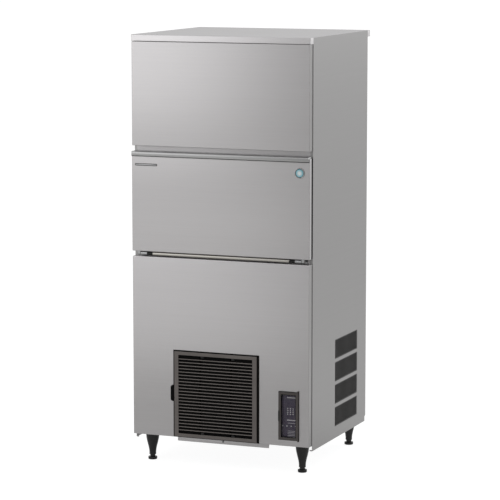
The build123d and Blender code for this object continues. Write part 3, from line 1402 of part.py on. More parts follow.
def maker_beam(y, ledge_y):
    """One beam with its hanger for the plate's pin and its ledge for the evaporator."""
    span = grown((-LINED_HALF, LINED_HALF), -SEAT_GAP)
    top = LID_BOTTOM - SEAT_GAP
    beam = slab(span, y, (top - BEAM_HEIGHT, top))
    beam += slab((span[0], span[0] + HANGER_WIDTH), y, (PLATE_BOTTOM - HANGER_BELOW, top))
    beam += slab((-LEDGE_HALF, LEDGE_HALF), ledge_y, (GRID_TOP, GRID_TOP + LEDGE_THICK))
    beam -= rod_y(CAM_SHAFT_RADIUS + RUNNING_GAP, CAM_SHAFT_X, grown(y, OVERCUT), CAM_Z)
    return beam - rod_y(PIN_RADIUS + RUNNING_GAP, PLATE_HINGE_X, grown(y, OVERCUT), PLATE_PIN_Z)


def water_plate():
    """Moulded plate that closes the cells from below, on pins at its left edge."""
    y = grown((GRID_Y, GRID_Y), GRID_WIDE / 2 + PLATE_OVER)
    z = (PLATE_BOTTOM, PLATE_TOP)
    end = CAM_SHAFT_X - PLATE_END
    plate = slab((PLATE_HINGE_X + PLATE_START, end), y, z)
    plate = fillet(plate.edges().filter_by(Axis.Z), PLATE_CORNER)
    count = int((end - PLATE_DRIP_MARGIN) / (2 * CELL_PITCH))
    for column in range(-count, count + 1):
        x = grown((2 * column * CELL_PITCH, 2 * column * CELL_PITCH), PLATE_DRIP / 2)
        plate -= slab(x, grown(y, -PLATE_DRIP_MARGIN), grown(z, OVERCUT))
    barrel_x = (PLATE_HINGE_X - PLATE_KNUCKLE, PLATE_HINGE_X + PLATE_START + PLATE_KNUCKLE)
    plate += slab(barrel_x, y, grown((PLATE_PIN_Z, PLATE_PIN_Z), PLATE_KNUCKLE))
    pin_y = (MAKER_Y - BEAM_THICK, MAKER_REAR + BEAM_THICK)
    plate += rod_y(PIN_RADIUS, PLATE_HINGE_X, pin_y, PLATE_PIN_Z)
    return plate + rod_y(CAM_PIN_RADIUS, SPRING_X, grown(SPRING_Y, SPRING_BAR_PAST), SPRING_Z)


def water_tank():
    """Open tank hung under the water plate."""
    x = (PLATE_HINGE_X + TANK_START, TANK_RIGHT)
    y = grown((GRID_Y, GRID_Y), GRID_WIDE / 2)
    z = (PLATE_BOTTOM - TANK_DEPTH, PLATE_BOTTOM)
    body = rounded_below(slab(x, y, z), TANK_ROUND)
    hollow = slab(grown(x, -TANK_WALL), grown(y, -TANK_WALL), (z[0] + TANK_WALL, z[1] + OVERCUT))
    return body - rounded_below(hollow, TANK_ROUND - TANK_WALL)


def rounded_below(block, radius):
    """A block with rounded upright edges and a rounded underside, as a moulding has."""
    upright = block.edges().filter_by(Axis.Z)
    return fillet(upright + block.faces().sort_by(Axis.Z)[0].edges(), radius)


def pump_motor():
    """Pump with its motor, hung under the water plate beside the tank."""
    x = TANK_RIGHT + PUMP_RADIUS + PUMP_FROM_TANK
    y = GRID_Y + GRID_WIDE / 2 - PUMP_RADIUS - PUMP_FROM_REAR
    can = rod_z(PUMP_RADIUS, x, y, (PLATE_BOTTOM - PUMP_HEIGHT, PLATE_BOTTOM))
    can = fillet(can.edges().sort_by(Axis.Z)[0], PUMP_ROUND)
    duct_top = PLATE_BOTTOM - PUMP_DUCT_BELOW
    return can + slab((TANK_RIGHT, x), grown((y, y), PUMP_DUCT_HALF), (duct_top - PUMP_DUCT_TALL, duct_top))


def cam_shaft():
    """Shaft with an arm and a pin at each end, which lowers and lifts the water plate."""
    shaft_y = (MAKER_Y - BEAM_THICK - CAM_SHAFT_PAST, MAKER_REAR + BEAM_THICK)
    body = rod_y(CAM_SHAFT_RADIUS, CAM_SHAFT_X, shaft_y, CAM_Z)
    tip = CAM_Z + CAM_ARM_LENGTH
    near = MAKER_Y + CAM_ARM_GAP
    far = MAKER_REAR - CAM_ARM_GAP
    for y, middle in zip(((near, near + CAM_ARM_THICK), (far - CAM_ARM_THICK, far)), SPRING_Y):
        body += rod_y(CAM_HUB_RADIUS, CAM_SHAFT_X, y, CAM_Z)
        body += slab(grown((CAM_SHAFT_X, CAM_SHAFT_X), CAM_ARM_HALF), y, (CAM_Z, tip))
        body += rod_y(CAM_ARM_HALF, CAM_SHAFT_X, y, tip)
        reach = (min(y[0], middle - CAM_PIN_PAST), max(y[1], middle + CAM_PIN_PAST))
        body += rod_y(CAM_PIN_RADIUS, CAM_SHAFT_X, reach, tip)
    return body


def plate_springs():
    """Two extension springs between the water plate's pin and the cam arms."""
    lean = Vector(CAM_SHAFT_X - SPRING_X, 0, CAM_Z + CAM_ARM_LENGTH - SPRING_Z)
    tilt = Vector(0, 0, 1).get_signed_angle(lean, Vector(0, 1, 0))
    coil = Rot(0, tilt, 0) * spring_body(lean.length)
    return Compound(children=[Pos(SPRING_X, y, SPRING_Z) * coil for y in SPRING_Y])


def spring_body(length):
    """One spring standing on its lower eye: two eyes and a ribbed body between them."""
    eye = Cylinder(SPRING_EYE, SPRING_WIRE) - Cylinder(CAM_PIN_RADIUS + SEAT_GAP, 2 * SPRING_WIRE)
    eye = Rot(90, 0, 0) * eye
    start = SPRING_EYE - SPRING_WIRE / 2
    pitch = (length - 2 * start) / SPRING_RIBS
    points = [(0.0, start), (SPRING_WAIST, start)]
    for index in range(SPRING_RIBS):
        points.append((SPRING_RADIUS, start + (index + 0.5) * pitch))
        points.append((SPRING_WAIST, start + (index + 1) * pitch))
    points.append((0.0, length - start))
    coil = revolve(Plane.XZ * make_face(Polyline(*points, close=True)), Axis.Z)
    return eye + Pos(0, 0, length) * eye + coil


def actuator_motor():
    """Geared motor on the front beam that turns the cam shaft."""
    y = (MAKER_Y - BEAM_THICK - ACTUATOR_DEPTH, MAKER_Y - BEAM_THICK)
    x = (CAM_SHAFT_X - ACTUATOR_PAST, CAM_SHAFT_X + ACTUATOR_HALF)
    body = slab(x, y, grown((CAM_Z, CAM_Z), ACTUATOR_HALF))
    body = fillet(body.edges().filter_by(Axis.Y), ACTUATOR_CORNER)
    bore_y = (y[1] - CAM_SHAFT_PAST - SEAT_GAP, y[1] + OVERCUT)
    return body - rod_y(CAM_SHAFT_RADIUS + RUNNING_GAP, CAM_SHAFT_X, bore_y, CAM_Z)


def drain_pan():
    """Shallow pan under the ice maker that catches melt water, with a spout."""
    x = (-LINED_HALF + SEAT_GAP, PAN_RIGHT)
    y = grown((LINED_FRONT, LINED_REAR), -SEAT_GAP)
    body = slab(x, y, (PAN_FLOOR, PAN_RIM))
    body = fillet(body.edges().filter_by(Axis.Z), LINER_CORNER)
    hollow = slab(grown(x, -LINER), grown(y, -LINER), (PAN_FLOOR + LINER, PAN_RIM + OVERCUT))
    body -= fillet(hollow.edges().filter_by(Axis.Z), LINER_CORNER - LINER)
    spout_x = x[0] + PAN_SPOUT_INSET
    spout_y = y[1] - PAN_SPOUT_INSET
    spout_z = (PAN_FLOOR - PAN_SPOUT_LENGTH, PAN_FLOOR)
    body += rod_z(PAN_SPOUT_RADIUS, spout_x, spout_y, spout_z)
    bore_z = (spout_z[0] - OVERCUT, PAN_FLOOR + LINER + OVERCUT)
    return body - rod_z(PAN_SPOUT_RADIUS - LINER, spout_x, spout_y, bore_z)


def cube_guide():
    """Slatted ramp on the pan's right edge over which the cubes slide into the bin."""
    left = PAN_RIGHT - GUIDE_INSIDE
    right = PAN_RIGHT + GUIDE_OUTSIDE
    outline = Polyline(
        (left, PAN_FLOOR + LINER),
        (left, PAN_RIM + GUIDE_RISE),
        (right, PAN_RIM - GUIDE_LIP_TOP),
        (right, PAN_RIM - GUIDE_LIP_BOTTOM),
        (PAN_RIGHT + SEAT_GAP, PAN_RIM - GUIDE_LIP_BOTTOM),
        (PAN_RIGHT + SEAT_GAP, PAN_RIM),
        (PAN_RIGHT - LINER - GUIDE_WALL_GAP, PAN_RIM),
        (left + GUIDE_FOOT, PAN_FLOOR + LINER),
        close=True,
    )
    slat = extrude(Plane.XZ * make_face(outline), GUIDE_SLAT_THICK)
    pitch = (MAKER_REAR - MAKER_Y) / (GUIDE_SLATS - 1)
    body = Pos(0, MAKER_Y, 0) * slat
    for index in range(1, GUIDE_SLATS):
        body += Pos(0, MAKER_Y + index * pitch, 0) * slat
    bar_y = (MAKER_Y - GUIDE_SLAT_THICK / 2, MAKER_REAR - GUIDE_SLAT_THICK / 2)
    bar_z = (PAN_RIM - 2 * GUIDE_BAR, PAN_RIM - GUIDE_BAR)
    for x in (left + GUIDE_LIP_TOP, right - GUIDE_BAR - GUIDE_LIP_TOP):
        body += slab((x, x + GUIDE_BAR), bar_y, bar_z)
    return body


def paddle_bracket():
    """Bracket moulded on the liner's right wall that holds the ice level paddle's pin."""
    y = grown((0.0, 0.0), PADDLE_WIDTH / 2 + PADDLE_SIDE_GAP + BRACKET_CHEEK)
    z = (PADDLE_Z - BRACKET_REACH, PADDLE_Z + BRACKET_ROOF)
    body = slab((PADDLE_X - BRACKET_REACH, LINED_HALF), y, z)
    gap_x = (PADDLE_X - BRACKET_REACH - OVERCUT, PADDLE_X + BRACKET_SWING)
    gap_z = (PADDLE_Z - BRACKET_REACH - OVERCUT, PADDLE_Z + BRACKET_HEADROOM)
    body -= slab(gap_x, grown(y, -BRACKET_CHEEK), gap_z)
    return body - rod_y(PIN_RADIUS + RUNNING_GAP, PADDLE_X, grown(y, OVERCUT), PADDLE_Z)


def ice_level_paddle():
    """Paddle that hangs in the chute and is pushed aside when the bin is full."""
    y = grown((0.0, 0.0), PADDLE_WIDTH / 2)
    x = grown((PADDLE_X, PADDLE_X), PADDLE_THICK / 2)
    body = slab(x, y, (PADDLE_Z - PADDLE_LENGTH, PADDLE_Z))
    body = fillet(body.edges().filter_by(Axis.X).group_by(Axis.Z)[0], PADDLE_ROUND)
    body += rod_y(PADDLE_BARREL, PADDLE_X, y, PADDLE_Z)
    pin_y = grown(y, PADDLE_SIDE_GAP + BRACKET_CHEEK - SEAT_GAP)
    return body + rod_y(PIN_RADIUS, PADDLE_X, pin_y, PADDLE_Z)


def screw(x, y, z, direction):
    """A pan-head screw's head against a face that looks along Y."""
    head = Cylinder(SCREW_HEAD_RADIUS, SCREW_HEAD_HEIGHT)
    head = chamfer(head.edges().sort_by(Axis.Z)[-1], SCREW_HEAD_EDGE)
    return Pos(x, y, z) * Rot(90 * direction, 0, 0) * Pos(0, 0, SCREW_HEAD_HEIGHT / 2) * head


def panel_screws():
    """Screw heads: one on the front tab, rows on the rear sheets."""
    heads = [screw(0.0, CAB_FRONT + SHEET, BASE - TAB_SCREW_SHARE * TAB_DROP, 1)]
    rear = REAR_SKIN + REAR_SHEET
    rows = (BASE + SCREW_FROM_SEAM, DECK - SCREW_FROM_SEAM, DECK + SCREW_FROM_SEAM, ROOF - SCREW_FROM_SEAM)
    for x in (-1, 0, 1):
        for z in rows:
            heads.append(screw(x * (SIDE_IN - SCREW_FROM_EDGE), rear, z, -1))
    return Compound(children=heads)


parts = {
    "top_panel": top_panel,
    "upper_front_panel": upper_front_panel,
    "lower_front_panel": lower_front_panel,
    "left_side_panel": left_side_panel,
    "right_side_panel": right_side_panel,
    "side_vent_grilles": side_vent_grilles,
    "rear_panel": rear_panel,
    "rear_cover": rear_cover,
    "base_pan": base_pan,
    "legs": legs,
    "cabinet_deck": cabinet_deck,
    "front_frame": front_frame,
    "cabinet_insulation": cabinet_insulation,
    "bin_liner": bin_liner,
    "top_insulation": top_insulation,
    "front_insulation": front_insulation,
    "door_skin": door_skin,
    "door_insulation": door_insulation,
    "door_liner": door_liner,
    "door_gasket": door_gasket,
    "door_grip": door_grip,
    "door_badge": door_badge,
    "hinge_bar": hinge_bar,
    "hinge_arms": hinge_arms,
    "hinge_bushes": hinge_bushes,
    "hinge_brackets": hinge_brackets,
    "front_louvre": front_louvre,
    "air_filter": air_filter,
    "control_cover": control_cover,
    "control_pane": control_pane,
    "cover_ears": cover_ears,
    "control_housing": control_housing,
    "control_keypad": control_keypad,
    "control_box": control_box,
    "condenser": condenser,
    "fan_shroud": fan_shroud,
    "fan_motor": fan_motor,
    "fan_blade": fan_blade,
    "compressor": compressor,
    "compressor_grommets": compressor_grommets,
    "discharge_pipe": discharge_pipe,
    "water_inlet": water_inlet,
    "drain_fitting": drain_fitting,
    "cord_grommet": cord_grommet,
    "evaporator": evaporator,
    "maker_frame": maker_frame,
    "water_plate": water_plate,
    "water_tank": water_tank,
    "pump_motor": pump_motor,
    "cam_shaft": cam_shaft,
    "plate_springs": plate_springs,
    "actuator_motor": actuator_motor,
    "drain_pan": drain_pan,
    "cube_guide": cube_guide,
    "ice_level_paddle": ice_level_paddle,
    "panel_screws": panel_screws,
}

os.makedirs("parts", exist_ok=True)
for name, make in parts.items():
    export_step(make(), f"parts/{name}.step")
for name, x, y in leg_places():
    export_step(Pos(x, y, 0) * foot(), f"parts/foot_{name}.step")
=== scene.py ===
import math

import bmesh
import bpy
import numpy as np
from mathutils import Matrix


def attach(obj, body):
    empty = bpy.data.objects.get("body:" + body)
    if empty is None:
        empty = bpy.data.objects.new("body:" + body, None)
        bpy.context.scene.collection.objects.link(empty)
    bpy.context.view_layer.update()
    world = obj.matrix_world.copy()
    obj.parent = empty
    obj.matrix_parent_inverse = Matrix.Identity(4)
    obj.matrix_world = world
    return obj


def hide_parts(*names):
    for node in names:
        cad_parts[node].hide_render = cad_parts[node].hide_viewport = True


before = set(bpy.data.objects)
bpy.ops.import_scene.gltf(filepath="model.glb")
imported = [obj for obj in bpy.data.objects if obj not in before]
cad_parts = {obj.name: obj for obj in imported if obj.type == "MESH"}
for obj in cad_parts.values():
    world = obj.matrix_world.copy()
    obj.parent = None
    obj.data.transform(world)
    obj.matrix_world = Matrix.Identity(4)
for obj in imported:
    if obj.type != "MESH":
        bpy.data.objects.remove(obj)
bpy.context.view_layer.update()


# Studio floor and surround: matt white paper that runs out of the picture, under white light all round.
# The floor keeps the machine's shadow. Metal sees it white behind the machine, and at its own level
# in front.
FLOOR_REACH = 60.0
FLOOR_COLOUR = "#E4E4E2"
SHADED_COLOUR = "#8E8E8E"
STUDIO_WHITE = "#FFFFFF"
FLOOR_GLOW = 0.92
FLOOR_FRONT = -1.2
FLOOR_BEHIND = 0.6
SEEN_BEHIND = 0.6


def linear(colour):
    """Linear RGBA of an sRGB hex colour: a twelfth of small values, a power of 2.4 of larger ones."""
    value = np.array([int(colour[at:at + 2], 16) for at in (1, 3, 5)]) / 255
    curve = np.where(value <= 0.04045, value / 12.92, ((value + 0.055) / 1.055) ** 2.4)
    return (*curve.tolist(), 1.0)


def add(tree, kind, settings=None, links=None):
    """One new node: settings are its properties or socket values, links say what feeds which socket.

    A link is a node, for its first output, or a node with the name or number of an output.
    """
    made = tree.nodes.new(kind)
    for key, value in (settings or {}).items():
        if isinstance(key, str) and hasattr(made, key):
            setattr(made, key, value)
        else:
            made.inputs[key].default_value = value
    for key, source in (links or {}).items():
        node, socket = source if isinstance(source, tuple) else (source, 0)
        tree.links.new(node.outputs[socket], made.inputs[key])
    return made


def start(name):
    """A new material and its emptied node tree."""
    made = bpy.data.materials.new(name)
    made.use_nodes = True
    made.node_tree.nodes.clear()
    return made, made.node_tree


def axes_of(tree):
    """The coordinates of a point on the piece, in metres, as one node with outputs X, Y and Z."""
    spot = add(tree, "ShaderNodeTexCoord")
    return add(tree, "ShaderNodeSeparateXYZ", {}, {0: (spot, "Object")})


def shown_ray(tree):
    """1 for a ray from the camera, off gloss or through glass, and 0 for the light on the object."""
    path = add(tree, "ShaderNodeLightPath")
    either = {"operation": "MAXIMUM"}
    rays = {0: (path, "Is Camera Ray"), 1: (path, "Is Glossy Ray")}
    direct = add(tree, "ShaderNodeMath", either, rays)
    return add(tree, "ShaderNodeMath", either, {0: direct, 1: (path, "Is Transmission Ray")})


floor_mesh = bpy.data.meshes.new("studio_floor")
floor_mesh.from_pydata(
    [(x * FLOOR_REACH, y * FLOOR_REACH, 0.0) for x, y in ((-1, -1), (1, -1), (1, 1), (-1, 1))],
    [],
    [(0, 1, 2, 3)],
)
floor = bpy.data.objects.new("studio_floor", floor_mesh)
bpy.context.scene.collection.objects.link(floor)
floor_paint, tree = start("matt white studio floor")
matt = add(tree, "ShaderNodeBsdfDiffuse", {"Color": linear(FLOOR_COLOUR)})
shade = add(tree, "ShaderNodeBsdfDiffuse", {"Color": linear(SHADED_COLOUR)})
glow = add(tree, "ShaderNodeEmission", {"Color": linear(STUDIO_WHITE), "Strength": FLOOR_GLOW})
lit = add(tree, "ShaderNodeAddShader", {}, {0: shade, 1: glow})
behind = add(
    tree,
    "ShaderNodeMapRange",
    {"From Min": FLOOR_FRONT, "From Max": FLOOR_BEHIND, "To Min": 0.0, "To Max": SEEN_BEHIND},
    {"Value": (axes_of(tree), "Y")},
)
seen = add(tree, "ShaderNodeMath", {"operation": "MULTIPLY"}, {0: shown_ray(tree), 1: behind})
path = add(tree, "ShaderNodeLightPath")
share = add(tree, "ShaderNodeMath", {"operation": "MAXIMUM"}, {0: seen, 1: (path, "Is Camera Ray")})
both = add(tree, "ShaderNodeMixShader", {}, {0: share, 1: matt, 2: lit})
add(tree, "ShaderNodeOutputMaterial", {}, {"Surface": both})
floor_mesh.materials.append(floor_paint)

# A studio is white behind the machine and greyer in front of it, where the camera stands.
WORLD_LIGHT = 0.62
ROOM_GREY = 0.5
ROOM_FRONT = -0.9
ROOM_BACK = 0.4

surround = bpy.data.worlds.new("white surround")
surround.use_nodes = True
bpy.context.scene.world = surround
tree = surround.node_tree
tree.nodes.clear()
level = add(
    tree,
    "ShaderNodeMapRange",
    {"From Min": 0.0, "From Max": 1.0, "To Min": WORLD_LIGHT, "To Max": 1.0},
    {"Value": shown_ray(tree)},
)
toward = add(tree, "ShaderNodeTexCoord")
axes = add(tree, "ShaderNodeSeparateXYZ", {}, {0: (toward, "Generated")})
room = add(
    tree,
    "ShaderNodeMapRange",
    {"From Min": ROOM_FRONT, "From Max": ROOM_BACK, "To Min": ROOM_GREY, "To Max": 1.0},
    {"Value": (axes, "Y")},
)
around = add(tree, "ShaderNodeMath", {"operation": "MULTIPLY"}, {0: level, 1: room})
path = add(tree, "ShaderNodeLightPath")
plain = add(tree, "ShaderNodeMath", {"operation": "MAXIMUM"}, {0: around, 1: (path, "Is Camera Ray")})
white = add(tree, "ShaderNodeBackground", {"Color": linear(STUDIO_WHITE)}, {"Strength": plain})
add(tree, "ShaderNodeOutputWorld", {}, {"Surface": white})
bpy.context.scene.view_settings.view_transform = "Standard"


# Soft boxes: a tall one close in front on the left with a weak one under it, then one on the right, one
# overhead and one behind. Each is given its place, the point it faces, its width and height in metres
# and its power in watts.
def soft_box(name, place, target, width, height, power):
    """A rectangular area lamp that looks at a point."""
    lamp = bpy.data.lights.new(name, "AREA")
    lamp.shape = "RECTANGLE"
    lamp.size = width
    lamp.size_y = height
    lamp.energy = power
    made = bpy.data.objects.new(name, lamp)
    bpy.context.scene.collection.objects.link(made)
    x, y, z = (b - a for a, b in zip(place, target))
    made.location = place
    made.rotation_euler = (math.atan2(math.hypot(x, y), -z), 0.0, math.atan2(-x, y))
    made.visible_camera = False


soft_box("key box", (-1.05, -1.75, 1.68), (-0.25, -0.33, 1.25), 1.1, 1.4, 5.6)
soft_box("low box", (-0.9, -1.75, 0.45), (-0.1, -0.33, 0.45), 1.3, 0.8, 1.8)
soft_box("fill box", (3.4, -1.6, 1.9), (0.3, 0.0, 0.8), 1.6, 1.6, 8.0)
soft_box("top box", (-0.4, -0.4, 4.2), (0.0, 0.0, 1.6), 2.6, 2.6, 12.0)
soft_box("rear box", (1.9, 2.4, 2.6), (0.35, 0.0, 1.5), 1.2, 1.2, 10.0)


# The camera stands right of the machine's middle, a little above its top, with a long lens.
# Its place, turn and focal length were fitted to the edges of the photographed cabinet.
CAMERA_PLACE = (3.3655, -8.4734, 2.0277)
CAMERA_TURN = 21.715
CAMERA_DOWN = 7.807
CAMERA_LENS = 175.04
CAMERA_SENSOR = 36.0
CAMERA_FAR = 200.0

view = bpy.data.cameras.new("long lens")
view.lens = CAMERA_LENS
view.sensor_width = CAMERA_SENSOR
view.clip_end = CAMERA_FAR
camera = bpy.data.objects.new("camera", view)
bpy.context.scene.collection.objects.link(camera)
camera.location = CAMERA_PLACE
camera.rotation_euler = (math.radians(90 - CAMERA_DOWN), 0.0, math.radians(CAMERA_TURN))
bpy.context.scene.camera = camera


# Front panels, door skin, top and front frame: folded stainless sheet, 1 mm thick, ground along its
# width, which leaves fine lines. The sheets' shallow curve is shading only, and stronger than a real
# sheet's: it stands for the fall-off from top to foot that the photographed panels show.
FRONT_STEEL = "#BDBBBC"
# The sides' colour is partly a duller finish and partly painted shade.
SHADED_SIDE_STEEL = "#A1A0A0"
# Painted light and shade on one sheet: the top's fascia is lightened and its flat top darkened.
TOP_PAINTED_LIGHT_STEEL = "#C9C7C8"
TOP_PAINTED_SHADE_STEEL = "#9D9B9C"
# Painted shade: the black of the gap round the door, painted on the door skin's rear side returns.
GAP_SHADE_BLACK = "#0B0B0B"
GRIND_STEP = 0.0006
GRIND_LENGTH = 0.12
BAND_WIDTH = 9
LINE_DEPTH = 0.00001
LINE_TONE = 0.03
BAND_TONE = 0.015
GLOSS_SPREAD = 0.03
SHADE_EDGE = 0.0004
COLOUR_EDGE = 0.0002


def dress(material, *names):
    """Gives CAD nodes a material in every slot that they have."""
    for name in names:
        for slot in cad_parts[name].material_slots:
            slot.material = material


def finish(tree, settings, links):
    """The shader of a material and its output."""
    shader = add(tree, "ShaderNodeBsdfPrincipled", settings, links)
    add(tree, "ShaderNodeOutputMaterial", {}, {"Surface": shader})


def distance_from(tree, axis, middle):
    """How far a point of the piece lies from a middle along one axis, either way, in metres."""
    off = add(tree, "ShaderNodeMath", {"operation": "SUBTRACT", 1: middle}, {0: (axes_of(tree), axis)})
    return add(tree, "ShaderNodeMath", {"operation": "ABSOLUTE"}, {0: off})


def crowned(tree, middle, half, rise):
    """The bump of a sheet that curves with height: minus the rise times its half's share, squared."""
    above = add(tree, "ShaderNodeMath", {"operation": "SUBTRACT", 1: middle}, {0: (axes_of(tree), "Z")})
    share = add(tree, "ShaderNodeMath", {"operation": "DIVIDE", 1: half}, {0: above})
    square = add(tree, "ShaderNodeMath", {"operation": "MULTIPLY"}, {0: share, 1: share})
    height = add(tree, "ShaderNodeMath", {"operation": "MULTIPLY", 1: -rise}, {0: square})
    return add(tree, "ShaderNodeBump", {"Strength": 1.0, "Distance": 1.0}, {"Height": height})


def bare_of_painted_shade(tree, behind, half):
    """0 on a sheet's side returns behind a depth and beyond a half width, where shade is painted, 1 on
    the rest.
    """
    fore = add(
        tree,
        "ShaderNodeMapRange",
        {"From Min": behind, "From Max": behind + SHADE_EDGE, "To Min": 1.0, "To Max": 0.0},
        {"Value": (axes_of(tree), "Y")},
    )
    off = add(tree, "ShaderNodeMath", {"operation": "ABSOLUTE"}, {0: (axes_of(tree), "X")})
    inner = add(
        tree,
        "ShaderNodeMapRange",
        {"From Min": half - 2 * SHADE_EDGE, "From Max": half - SHADE_EDGE, "To Min": 1.0, "To Max": 0.0},
        {"Value": off},
    )
    return add(tree, "ShaderNodeMath", {"operation": "MAXIMUM"}, {0: fore, 1: inner})


def stainless(name, colour, brushed, rough, crown=None, gap_shade=None, second=None):
    """Ground stainless steel: noise stretched along the brushed axis sets its lines' tone and depth.

    The lines are 0.6 mm apart, coarser than the real 0.2 mm, so that a close view still shows them.
    crown gives the height of a panel's middle, its half height and the rise of its bump, in metres:
    the bump is a parabola, so the sheet looks up near its top and down near its foot.
    The gap shade argument gives the depth and the half width past which the side returns are painted
    black,
    without metal or shine: painted shade of the gap round the door.
    second gives a colour for what lies further than a reach from a middle, along one axis.
    """
    made, tree = start(name)
    spot = add(tree, "ShaderNodeTexCoord")
    fine = [1 / GRIND_STEP] * 3
    fine[brushed] = 1 / GRIND_LENGTH
    broad = [value / BAND_WIDTH for value in fine]
    lines = add(tree, "ShaderNodeMapping", {"Scale": fine}, {"Vector": (spot, "Object")})
    bands = add(tree, "ShaderNodeMapping", {"Scale": broad}, {"Vector": (spot, "Object")})
    shape = {"Scale": 1.0, "Detail": 3.0, "Roughness": 0.6}
    scratch = add(tree, "ShaderNodeTexNoise", shape, {"Vector": lines})
    streak = add(tree, "ShaderNodeTexNoise", shape, {"Vector": bands})
    middle_half = {"From Min": 0.25, "From Max": 0.75}
    tones = [
        add(
            tree,
            "ShaderNodeMapRange",
            {**middle_half, "To Min": 1 - spread, "To Max": 1 + spread},
            {"Value": noise},
        )
        for noise, spread in ((scratch, LINE_TONE), (streak, BAND_TONE))
    ]
    tone = add(tree, "ShaderNodeMath", {"operation": "MULTIPLY"}, dict(enumerate(tones)))
    steel = {"operation": "SCALE", 0: linear(colour)[:3]}
    paint = add(tree, "ShaderNodeVectorMath", steel, {"Scale": tone})
    gloss = add(
        tree,
        "ShaderNodeMapRange",
        {**middle_half, "To Min": rough - GLOSS_SPREAD, "To Max": rough + GLOSS_SPREAD},
        {"Value": scratch},
    )
    relief = {"Height": scratch}
    if crown:
        relief["Normal"] = crowned(tree, *crown)
    depth = add(tree, "ShaderNodeBump", {"Strength": 0.2, "Distance": LINE_DEPTH}, relief)
    settings, links = {"Metallic": 1.0}, {}
    # Painted shade of the door's gap: the side returns behind a depth turn black, without metal or
    # shine.
    if gap_shade:
        bare = bare_of_painted_shade(tree, *gap_shade)
        black = {"data_type": "RGBA", 6: linear(GAP_SHADE_BLACK)}
        paint = add(tree, "ShaderNodeMix", black, {0: bare, 7: paint}), 2
        shine = add(tree, "ShaderNodeMath", {"operation": "MULTIPLY", 1: 0.5}, {0: bare})
        settings, links = {}, {"Metallic": bare, "Specular IOR Level": shine}
    if second:
        other, axis, middle, reach = second
        beyond = add(
            tree,
            "ShaderNodeMapRange",
            {"From Min": reach, "From Max": reach + COLOUR_EDGE, "To Min": 0.0, "To Max": 1.0},
            {"Value": distance_from(tree, axis, middle)},
        )
        far = {"data_type": "RGBA", 7: linear(other)}
        paint = add(tree, "ShaderNodeMix", far, {0: beyond, 6: paint}), 2
    finish(tree, settings, {"Base Color": paint, "Roughness": gloss, "Normal": depth, **links})
    return made


# Along X the panels' side returns, which turn away from the key box, take the sides' darker colour as
# painted shade.
SIDE_RETURN_SHADE = (SHADED_SIDE_STEEL, "X", 0.0, 0.3493)
# The door skin's side returns behind 305.5 mm are painted black, as shade of the gap round the door.
DOOR_GAP_SHADE = (-0.3055, 0.351)
# The top sheet's flat top, above 1599.3 mm, is painted darker than its fascia: painted shade.
TOP_FLAT_SHADE = (TOP_PAINTED_SHADE_STEEL, "Z", 0.0, 1.5993)
HATCH_CROWN = (1.383, 0.192, 0.0035)
DOOR_CROWN = (1.075, 0.183, 0.0062)
FRONT_CROWN = (0.4435, 0.3365, 0.02)
TOP_CROWN = (1.56, 0.04, 0.003)

upper_sheet = stainless(
    "stainless sheet of the hatch", FRONT_STEEL, 0, 0.36, HATCH_CROWN, second=SIDE_RETURN_SHADE
)
dress(upper_sheet, "upper_front_panel")
door_sheet = stainless("stainless sheet of the door", FRONT_STEEL, 0, 0.36, DOOR_CROWN, DOOR_GAP_SHADE)
dress(door_sheet, "door_skin")
lower_sheet = stainless(
    "stainless sheet of the front", FRONT_STEEL, 0, 0.36, FRONT_CROWN, second=SIDE_RETURN_SHADE
)
dress(lower_sheet, "lower_front_panel")
# The top sheet's colour is lightened as painted light on its fascia.
top_sheet = stainless("stainless sheet of the top", TOP_PAINTED_LIGHT_STEEL, 0, 0.36, TOP_CROWN, second=TOP_FLAT_SHADE)
dress(top_sheet, "top_panel")
frame_sheet = stainless("stainless sheet of the front frame", FRONT_STEEL, 0, 0.4)
dress(frame_sheet, "front_frame")


# Side panels: larger folded stainless sheets with a duller finish, ground from front to rear.
# Their darker colour is partly that finish and partly painted shade, for they turn away from the key
# box.
# The right one has four rows of air outlets, backed by slotted black grilles.
SIDE_CROWN = (0.85, 0.745, 0.02)
side_sheet = stainless("stainless sheet of the sides", SHADED_SIDE_STEEL, 1, 0.44, SIDE_CROWN)
dress(side_sheet, "left_side_panel", "right_side_panel")


# Grip along the door's top edge: extruded, satin, with a full round front that takes a long light line.
# The round front is a bump, for the CAD grip has a flat face, and its lowest few millimetres are
# painted dark:
# a painted shadow under the grip.
GRIP_METAL = "#A5A5A5"
GRIP_CROWN = (1.162, 0.0098, 0.0022)
# Painted shadow: the grip is dark below 1154.7 mm.
GRIP_PAINTED_SHADOW = ("#2A2A2A", "Z", 1.1715, 0.0168)
grip_metal = stainless("satin extruded grip", GRIP_METAL, 0, 0.3, GRIP_CROWN, second=GRIP_PAINTED_SHADOW)
dress(grip_metal, "door_grip")


# Louvre, control cover and outlet grilles: ABS, dark warm grey, moulded in a spark-eroded tool.
# The tool leaves a fine even grain, so the plastic is matt with a faint sheen.
# Grains are about 1 mm wide, coarser than the real 0.1 mm, so that a close view still shows them.
LOUVRE_GREY = "#433F3D"
COVER_GREY = "#4B4644"
OUTLET_GREY = "#474646"
PLASTIC_BLACK = "#121212"
PLASTIC_IOR = 1.53
CLOUDS_PER_METRE = 14.0
CLOUD_TONE = 0.08
GRAIN_GLOSS = 0.06
# Painted shade: the share of its colour that the plastic keeps deep in an opening.
OPENING_PAINTED_SHADE = 0.04
EDGE_LIGHT_START = 0.0017
EDGE_LIGHT_END = 0.0013


